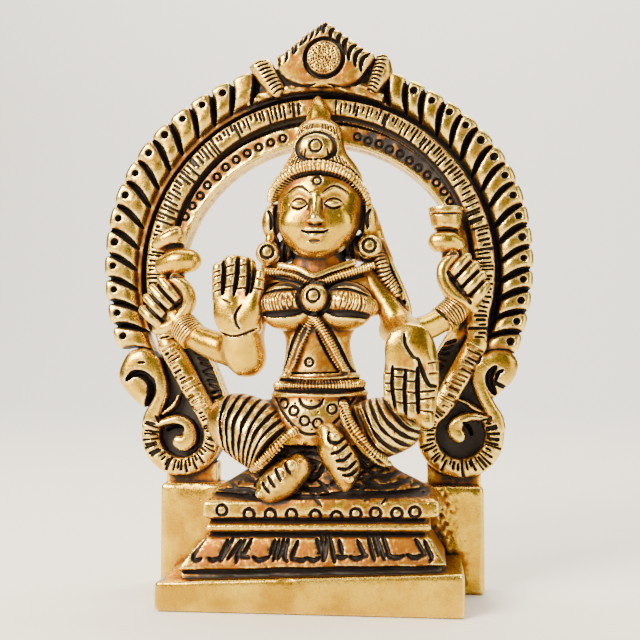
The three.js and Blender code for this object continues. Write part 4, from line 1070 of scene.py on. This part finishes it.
def slab_hand(clay, outline, middle, half):
    """The flat of a hand from its outline, rounded to both faces."""
    edge = np.array(outline)
    low, high = edge.min(0), edge.max(0)
    part, x, y, z = region(clay, (low[0], middle - half, low[1]), (high[0], middle + half, high[1]))
    corner = 1.6
    around = inside(x, z, closed_path(outline, 4)) + corner
    through = np.abs(y - middle) - half + corner
    gap = np.hypot(np.maximum(around, 0), np.maximum(through, 0))
    gap = gap + np.minimum(np.maximum(around, through), 0)
    blend_in(clay, part, gap - corner, 0.5)


raised = Clay((-34.5, -12.4, 44.8), (-7.6, 7.4, 75.2), 0.18)
limb(raised, [(-9.6, -2.4, 68.2, 3.0), (-13.2, -3.2, 60.0, 3.0), (-15.2, -4.2, 53.4, 4.2)])
limb(raised, [(-14.8, -4.6, 51.6, 3.6), (-15.3, -5.2, 54.0, 4.4), (-15.4, -6.8, 58.6, 3.9)], 1.2)
egg(raised, (-14.2, -4.6, 51.4), (3.9, 3.8, 4.0), 20, 1.6)
limb(raised, [(-15.6, -2.8, 52.4, 3.6), (-21.6, -1.2, 54.0, 3.3), (-27.4, 1.2, 56.6, 2.8),
              (-32.0, 3.4, 60.4, 2.7)], 1.4)
slab_hand(raised, RAISED_HAND, -7.6, 1.9)
egg(raised, (-17.4, -8.7, 61.0), (3.4, 1.6, 4.2), 4, 1.0)
egg(raised, (-12.9, -9.0, 61.4), (2.4, 1.9, 4.4), 12, 1.0)
for x, top, r in RAISED_FINGERS:
    limb(raised, [(x, -8.4, 64.0, r), (x, -8.6, top, r)], 0.4)
limb(raised, [(-12.6, -9.0, 62.4, 1.5), (-11.2, -9.2, 66.4, 1.3), (-10.9, -9.0, 69.2, 1.0)], 0.5)
for path, width, depth in RAISED_CUTS + [(crease, *CREASE) for crease in RAISED_CREASES]:
    raised.groove(path, width, depth, taper=0.5)
carve(raised)
limb(raised, [(-27.0, 0.8, 55.8, 3.35), (-28.6, 1.6, 57.4, 3.35), (-30.2, 2.4, 59.0, 3.35)], 0.2,
     (0.66, 0.36, 0.45, 0.2, 4.6), flat_ends=2)
cast(raised, "raised_arm", 56000)

lowered = Clay((9.8, -15.4, 36.0), (34.2, 7.4, 74.2), 0.18)
limb(lowered, [(10.8, -2.8, 69.6, 2.2), (12.7, -3.6, 66.8, 2.2), (14.8, -4.2, 63.6, 2.4),
               (17.0, -4.8, 60.0, 2.9), (18.6, -5.6, 57.2, 3.4)])
limb(lowered, [(18.4, -5.0, 57.6, 3.3), (19.9, -8.8, 56.4, 3.4), (20.4, -11.2, 55.0, 3.3)], 1.2)
limb(lowered, [(16.6, -3.2, 57.4, 3.0), (22.0, -1.4, 57.4, 2.8), (27.0, 1.2, 59.8, 2.7),
               (31.0, 3.4, 63.0, 2.8)], 1.2)
slab_hand(lowered, LOWERED_HAND, -12.0, 1.9)
egg(lowered, (18.0, -13.0, 53.4), (2.7, 1.5, 4.0), 6, 1.0)
egg(lowered, (22.4, -13.1, 53.6), (2.9, 1.6, 4.4), -10, 1.0)
for x, tip, r in LOWERED_FINGERS:
    limb(lowered, [(x - 0.1, -12.8, 48.0, r), (x, -13.0, tip, r)], 0.4)
limb(lowered, [(23.4, -13.2, 53.0, 1.5), (24.6, -13.3, 49.6, 1.35), (24.8, -13.2, 46.9, 1.05)], 0.5)
for path, width, depth in LOWERED_CUTS + [(crease, *CREASE) for crease in LOWERED_CREASES]:
    lowered.groove(path, width, depth, taper=0.5)
carve(lowered)
limb(lowered, [(26.8, 1.0, 59.4, 3.2), (28.4, 1.8, 60.8, 3.2), (30.2, 2.6, 62.4, 3.2)], 0.2,
     (0.66, 0.36, 0.45, 0.2, 4.8), flat_ends=2)
lowered.groove([(25.2, 62.4), (28.0, 60.0), (30.6, 58.0)], 0.7, 0.8)
carve(lowered)
cast(lowered, "lowered_arm", 56000)

# The rear hands and their flowers
# The two rear hands close round the stems of lotus buds; the fingers are plain bars with deep black
# gaps between them. The buds are rounded and rubbed smooth, the right one with an open cup on top.
LEFT_FINGERS = [((-34.9, 69.0), (-31.2, 64.6)), ((-36.9, 67.0), (-32.6, 62.8)),
                ((-38.1, 64.9), (-34.1, 60.9)), ((-39.0, 62.3), (-35.6, 59.2))]
RIGHT_FINGERS = [((32.5, 73.2), (29.3, 69.7)), ((34.2, 71.4), (30.6, 67.6)), ((35.7, 69.3), (32.0, 65.7)),
                 ((36.5, 67.0), (34.1, 63.9))]
LEFT_PALM = [(-31.8, 1.6, 69.2, 1.3), (-29.2, 1.5, 66.9, 1.5), (-28.4, 1.6, 63.9, 1.5),
             (-30.2, 1.8, 61.0, 1.5), (-33.4, 2.0, 58.4, 1.4), (-36.0, 2.4, 57.8, 1.1)]
RIGHT_PALM = [(29.6, 1.8, 73.6, 1.2), (27.4, 1.7, 71.0, 1.4), (27.6, 1.6, 67.8, 1.5),
              (29.6, 1.6, 65.0, 1.5), (32.4, 1.8, 63.4, 1.4), (33.8, 2.4, 62.2, 1.2)]

for name, low, high, fingers, palm, fist in (
        ("left_flower_hand", (-41.4, -2.0, 54.0), (-24.2, 9.8, 83.4),
         LEFT_FINGERS, LEFT_PALM, (-33.4, 4.2, 64.0)),
        ("right_flower_hand", (21.8, -2.0, 57.4), (39.6, 9.8, 86.6),
         RIGHT_FINGERS, RIGHT_PALM, (31.6, 4.2, 67.8))):
    hand = Clay(low, high, 0.18)
    side = math.copysign(1, fist[0])
    egg(hand, fist, (4.9, 2.9, 6.2), side * -14, 0.5)
    limb(hand, [(fist[0] + side * -1.6, 4.6, fist[2] - 5.6, 2.4), (fist[0], 4.4, fist[2], 2.6)], 0.6)
    limb(hand, palm, 0.4)
    for start, end in fingers:
        knuckle = ((start[0] + end[0]) / 2, 1.1, (start[1] + end[1]) / 2, 1.15)
        limb(hand, [(start[0], 2.0, start[1], 1.1), knuckle, (end[0], 1.6, end[1], 1.0)], 0.25)
    if side < 0:
        limb(hand, [(-34.8, 3.8, 72.4, 2.2), (-31.6, 3.4, 73.1, 2.9), (-28.8, 3.4, 73.3, 2.6)], 0.6)
        limb(hand, [(-36.4, 4.6, 77.4, 1.5), (-34.2, 4.3, 78.4, 2.0), (-32.2, 4.4, 79.4, 2.0)], 0.4)
        limb(hand, [(-32.6, 5.2, 68.0, 2.2), (-32.6, 5.2, 78.0, 2.2)], 0.6)
        for path, width, depth in (([(-36.8, 74.9), (-33.8, 76.4), (-29.6, 77.0)], 1.1, 1.4),
                                   ([(-37.0, 70.2), (-33.0, 69.6), (-27.6, 69.9)], 1.0, 1.3),
                                   ([(-36.1, 78.6), (-33.6, 80.0), (-31.4, 80.4)], 0.4, 0.4)):
            hand.groove(path, width, depth, taper=0.4)
    else:
        limb(hand, [(26.4, 3.2, 76.8, 2.3), (28.4, 3.0, 76.9, 2.35), (30.4, 3.2, 76.3, 1.8)], 0.5)
        tower(hand, [(79.4, 28.2, 4.0, 2.7, 2.3), (80.4, 28.1, 3.8, 3.2, 2.8), (82.6, 28.0, 3.8, 3.6, 3.1),
                     (84.4, 28.0, 3.8, 3.8, 3.3)], 0.4)
        limb(hand, [(30.0, 5.2, 70.0, 2.4), (28.2, 5.2, 82.0, 2.2)], 0.6)
        for path, width, depth in (([(24.2, 79.3), (27.8, 79.5), (31.6, 79.0)], 0.8, 1.2),
                                   ([(24.4, 73.9), (28.0, 73.9), (31.6, 74.2)], 0.8, 1.2),
                                   ([(24.8, 82.9), (28.0, 82.7), (31.4, 82.9)], 0.5, 0.5)):
            hand.groove(path, width, depth, taper=0.4)
    for one, two in zip(fingers[:-1], fingers[1:]):
        gap = [tuple((np.array(a) + np.array(b)) / 2) for a, b in zip(one, two)]
        hand.groove([gap[0], gap[1]], 0.8, 1.4, taper=0.2, smooth=False)
    start, end = np.array(fingers[0]), np.array(fingers[-1])
    knuckles = [start[1] - side * np.array((0.9, -0.2)), end[1] - side * np.array((1.0, 0.6))]
    hand.groove(knuckles, 1.0, 1.4, taper=0.3, smooth=False)
    carve(hand)
    cast(hand, name, 30000)

# The head
# A round face with closed eyes and a quiet smile, long ears with disc earrings, and a ribbed cap
# that rises in a dome and a small cone, with a medallion over its ribbed rim. The face is polished.
TILT = 0.04


def mid(z):
    """The middle line of the tilted face at a height."""
    return 1.0 + TILT * (z - 82)


head = Clay((-14.2, -14.2, 70.8), (17.6, 9.4, 111.4), 0.17)
FACE = [(72.5, -6.2, 2.4, 2.4), (73.6, -5.6, 4.6, 4.4), (75.8, -4.6, 7.0, 6.2), (79.0, -3.6, 8.6, 7.4),
        (83.0, -3.1, 9.2, 8.0), (87.0, -2.7, 9.2, 8.0), (91.0, -2.2, 8.6, 7.4)]
tower(head, [(z, mid(z), y, wide, deep) for z, y, wide, deep in FACE], 0.5)
CAP = [(86.4, 0.9, -1.8, 9.6, 7.8), (90.0, 0.9, -1.8, 9.3, 7.7), (93.0, 0.9, -1.2, 8.0, 6.9),
       (95.4, 0.7, -0.6, 6.4, 6.1), (97.4, 0.7, 0.0, 5.5, 5.4), (100.0, 0.6, 0.6, 5.2, 5.1),
       (102.2, 0.5, 1.2, 4.5, 4.6), (103.6, 0.4, 1.8, 2.9, 3.4), (104.2, 0.4, 2.0, 1.0, 1.4)]
CONE = [(100.0, 0.2, 4.0, 3.6, 3.4), (104.4, 0.0, 4.6, 2.9, 3.0), (106.6, -0.1, 5.0, 2.5, 2.7),
        (108.4, -0.2, 5.4, 1.7, 2.2), (109.8, -0.3, 5.8, 0.9, 1.3), (110.4, -0.3, 6.0, 0.3, 0.5)]
tower(head, CONE, 0.4)
tower(head, CAP, 0.4)
for side, ring_x, ring_z in ((-1, -10.0, 73.9), (1, 11.8, 75.0)):
    egg(head, (1 + side * 10.3, -2.6, 81.1), (2.3, 2.0, 3.8), side * -8, 0.5)
    limb(head, [(1 + side * 10.2, -2.8, 79.0, 1.2), (ring_x, -3.2, ring_z + 1.5, 1.1)], 0.4)
    egg(head, (ring_x, -4.4, ring_z), (2.65, 1.7, 2.65), 0, 0.3)
    head.ring(ring_x, ring_z + 0.2, 1.35, 0.7, 0.9)
    head.groove([(1 + side * 11.0, 83.2), (1 + side * 10.2, 81.4), (1 + side * 10.4, 79.0)],
                0.9, 1.0, taper=0.6)
    head.groove([(mid(86) + side * 9.2, 85.6), (mid(82) + side * 9.5, 81.6), (mid(78) + side * 8.9, 77.6),
                 (mid(75) + side * 7.4, 75.2)], 1.0, 1.2, taper=0.4)
limb(head, [(11.0, -1.6, 84.6, 1.2), (12.6, -1.2, 80.0, 1.5), (13.4, -1.2, 76.4, 1.8),
            (14.8, -1.2, 72.4, 2.0)], 0.5)
limb(head, [(-9.6, -1.0, 77.0, 1.6), (-9.8, -1.0, 71.6, 2.2)], 0.5)
carve(head)

# The face itself: brows, closed lids, nose, lips and chin, laid on softly and then cut.
egg(head, (mid(75), -8.6, 75.0), (2.5, 1.7, 1.6), 0, 1.6)
for side in (-1, 1):
    egg(head, (mid(79.6) + side * 4.6, -8.1, 79.6), (3.2, 2.5, 3.0), side * -10, 2.0)
    egg(head, (mid(83.4) + side * 3.66, -9.9, 83.3), (1.95, 1.15, 1.0), side * -3, 0.4)
    limb(head, [(mid(85) + side * 1.3, -11.0, 85.2, 0.4), (mid(86) + side * 3.7, -10.3, 86.4, 0.45),
                (mid(85) + side * 6.3, -8.6, 85.2, 0.35)], 0.6)
    egg(head, (mid(79.9) + side * 1.15, -11.3, 79.9), (0.75, 0.9, 0.65), 0, 0.4)
limb(head, [(mid(85.4), -10.7, 85.4, 0.7), (mid(82), -11.3, 82.0, 0.9), (mid(80.2), -11.9, 80.2, 1.15)],
     0.8)
limb(head, [(mid(77.6) - 2.5, -10.2, 77.75, 0.25), (mid(77.6) - 1.0, -10.9, 78.05, 0.5),
            (mid(77.6), -11.0, 77.95, 0.45), (mid(77.6) + 1.0, -10.9, 78.05, 0.5),
            (mid(77.6) + 2.5, -10.2, 77.75, 0.25)], 0.3)
limb(head, [(mid(76.9) - 1.9, -10.3, 77.1, 0.35), (mid(76.9), -10.9, 76.7, 0.65),
            (mid(76.9) + 1.9, -10.3, 77.1, 0.35)], 0.3)
for side in (-1, 1):
    x = mid(83.4) + side * 3.66
    head.groove([(x - 1.95, 83.35), (x - 1.0, 82.65), (x, 82.4), (x + 1.0, 82.65), (x + 1.95, 83.35)],
                0.5, 0.6, taper=0.6)
    head.groove([(x - 2.0, 83.3), (x - 1.1, 84.2), (x, 84.55), (x + 1.1, 84.2), (x + 2.0, 83.3)],
                0.42, 0.45, taper=0.6)
    head.groove([(mid(86) + side * 1.0, 85.4), (mid(86) + side * 3.6, 87.2),
                 (mid(86) + side * 6.6, 86.0)], 0.45, 0.4)
    head.groove([(mid(84) + side * 1.2, 84.4), (mid(81.5) + side * 1.5, 81.8)], 0.5, 0.3)
    head.groove([(mid(79.4) + side * 0.5, 79.15), (mid(79.4) + side * 1.4, 79.3)], 0.45, 0.5)
head.groove([(mid(77.5) - 2.8, 77.9), (mid(77.5) - 1.4, 77.4), (mid(77.5), 77.45), (mid(77.5) + 1.4, 77.4),
             (mid(77.5) + 2.8, 77.9)], 0.55, 0.8, taper=0.6)
head.groove([(mid(75.7) - 1.2, 75.75), (mid(75.7), 75.6), (mid(75.7) + 1.2, 75.75)], 0.8, 0.3)
head.ring(mid(88), 88.3, 0.85, 0.45, 0.6)
head.ring(mid(88), 88.3, 0, 0.3, 0.3)
carve(head)

# The rim of the cap and its medallion.
limb(head, [(-9.2, -3.6, 85.6, 1.2), (-7.9, -6.2, 87.6, 1.45), (-4.4, -8.8, 90.1, 1.6),
            (0.9, -9.7, 91.3, 1.65), (6.2, -8.7, 90.1, 1.6), (9.6, -6.0, 87.4, 1.45),
            (11.0, -3.4, 85.2, 1.2)], 0.3, (0.72, 0.34, 0.32, 0.0, 60.0))
egg(head, (0.6, -5.4, 96.3), (5.0, 1.5, 4.2), 0, 1.0)
egg(head, (0.6, -6.5, 96.1), (3.9, 1.6, 3.05), 0, 0.3)
head.ring(0.6, 96.1, 4.05, 1.0, 1.2, tall=0.79)
head.ring(0.6, 96.2, 1.3, 0.55, 0.7)
head.groove([(-8.8, 85.0), (-7.2, 87.1), (-4.3, 89.0), (0.8, 89.9), (6.2, 89.0), (9.2, 86.9),
             (10.7, 84.6)], 0.9, 1.0, taper=0.3)
head.groove([(-9.4, 87.6), (-7.8, 89.9), (-4.6, 92.0), (0.8, 93.1), (6.4, 92.0), (9.6, 89.7),
             (11.0, 87.2)], 0.85, 1.0, taper=0.3)
for t in np.linspace(-1, 1, 21):
    if abs(t) > 0.28:
        foot = (0.8 + 9.2 * t, 93.6 - 4.2 * t * t - 0.5 * abs(t))
        head.groove([foot, (0.8 + 7.6 * t, foot[1] + 2.5)], 0.4, 0.42, taper=0.3, smooth=False)
for t in np.linspace(-1, 1, 15):
    if abs(t) > 0.2:
        head.groove([(0.6 + 4.6 * t, 99.6 - 1.2 * abs(t)), (0.6 + 3.9 * t, 102.2 - 1.0 * abs(t))],
                    0.42, 0.4, taper=0.3, smooth=False)
carve(head)
cast(head, "head", 110000)

# The black patina and painted shade
# The whole casting was blackened and then rubbed, and the black stayed wherever a cloth could not reach.
# Every piece is told here how deep each of its points lies among all the others, and is darkened there
# both as that patina and as painted shade where the pieces close round each other.
COARSE = 0.5
corner = np.array((-52.0, -18.0, -3.0))
whole = np.zeros((208, 72, 272), np.float32)
for _, _, clay in castings:
    near, pick = [], []
    for axis in range(3):
        place = corner[axis] + COARSE * np.arange(whole.shape[axis])
        index = np.round((place - clay.low[axis]) / clay.step).astype(int)
        within = (index >= 0) & (index < clay.d.shape[axis])
        near.append(np.nonzero(within)[0])
        pick.append(index[within])
    metal = np.clip(0.5 - clay.d[np.ix_(*pick)] / COARSE, 0, 1)
    whole[np.ix_(*near)] = np.maximum(whole[np.ix_(*near)], metal)
whole = blurred(whole, 2)
for mesh, points, _ in castings:
    write_values(mesh, "wide", sampled(whole, corner, COARSE, points))

# The paper behind, the lamps and the camera
# Pale paper runs over the table and up the wall in one sweep. A soft lamp high on the left does most
# of the work, weaker ones fill the right and the back, and the camera stands where the photo's did.
sweep = [(-2.5, 0.0), (0.9, 0.0)]
sweep += [(0.9 + 0.5 * math.sin(t), 0.5 - 0.5 * math.cos(t)) for t in np.linspace(0.1, math.pi / 2, 12)]
sweep += [(1.4, 3.0)]
paper = bpy.data.meshes.new("paper")
corners = [(x, y, z) for y, z in sweep for x in (-3.0, 3.0)]
sheets = [(2 * i, 2 * i + 1, 2 * i + 3, 2 * i + 2) for i in range(len(sweep) - 1)]
paper.from_pydata(corners, [], sheets)
paper.shade_smooth()
floor = bpy.data.objects.new("paper", paper)
bpy.context.scene.collection.objects.link(floor)
pale = bpy.data.materials.new("pale_matt_paper")
pale.use_nodes = True
pale.node_tree.nodes["Principled BSDF"].inputs["Base Color"].default_value = colour("#EDEBE6")
pale.node_tree.nodes["Principled BSDF"].inputs["Roughness"].default_value = 0.7
paper.materials.append(pale)
floor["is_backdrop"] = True

world = bpy.data.worlds.new("studio")
bpy.context.scene.world = world
world.use_nodes = True
world.node_tree.nodes["Background"].inputs["Color"].default_value = colour("#F0E4D2")
world.node_tree.nodes["Background"].inputs["Strength"].default_value = 0.18


def soft_light(name, place, aim, size, power, tint):
    """A soft rectangular lamp, its sizes in metres and its power in watts."""
    lamp = bpy.data.lights.new(name, "AREA")
    lamp.shape = "RECTANGLE"
    lamp.size, lamp.size_y = size
    lamp.energy = power
    lamp.color = colour(tint)[:3]
    light = bpy.data.objects.new(name, lamp)
    light.location = place
    light.rotation_euler = (Vector(aim) - Vector(place)).to_track_quat("-Z", "Y").to_euler()
    bpy.context.scene.collection.objects.link(light)


MIDDLE = (0.0, 0.0, 0.06)
soft_light("key", (-0.34, -0.42, 0.36), MIDDLE, (0.28, 0.28), 12.5, "#FFF2D6")
soft_light("fill", (0.5, -0.3, 0.16), MIDDLE, (0.3, 0.55), 2.0, "#FFF6E2")
soft_light("top", (0.05, 0.1, 0.6), MIDDLE, (0.5, 0.4), 5.0, "#FFF6E0")
soft_light("wall", (0.0, 0.5, 1.2), (0.0, 1.5, 0.3), (2.0, 0.6), 45.0, "#FFFAF2")

AZIMUTH, PITCH = math.radians(6.0), math.atan(0.045)
STAND_OFF, EYE = 0.224, 0.05
camera_data = bpy.data.cameras.new("camera")
camera_data.lens, camera_data.sensor_width, camera_data.clip_start = 56.25, 36.0, 0.01
camera = bpy.data.objects.new("camera", camera_data)
camera.location = (MIDLINE / 1000 + STAND_OFF * math.sin(AZIMUTH),
                   0.0074 - STAND_OFF * math.cos(AZIMUTH), EYE)
ahead = Vector((-math.sin(AZIMUTH) * math.cos(PITCH), math.cos(AZIMUTH) * math.cos(PITCH), math.sin(PITCH)))
camera.rotation_euler = ahead.to_track_quat("-Z", "Y").to_euler()
bpy.context.scene.collection.objects.link(camera)
bpy.context.scene.camera = camera

low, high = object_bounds()
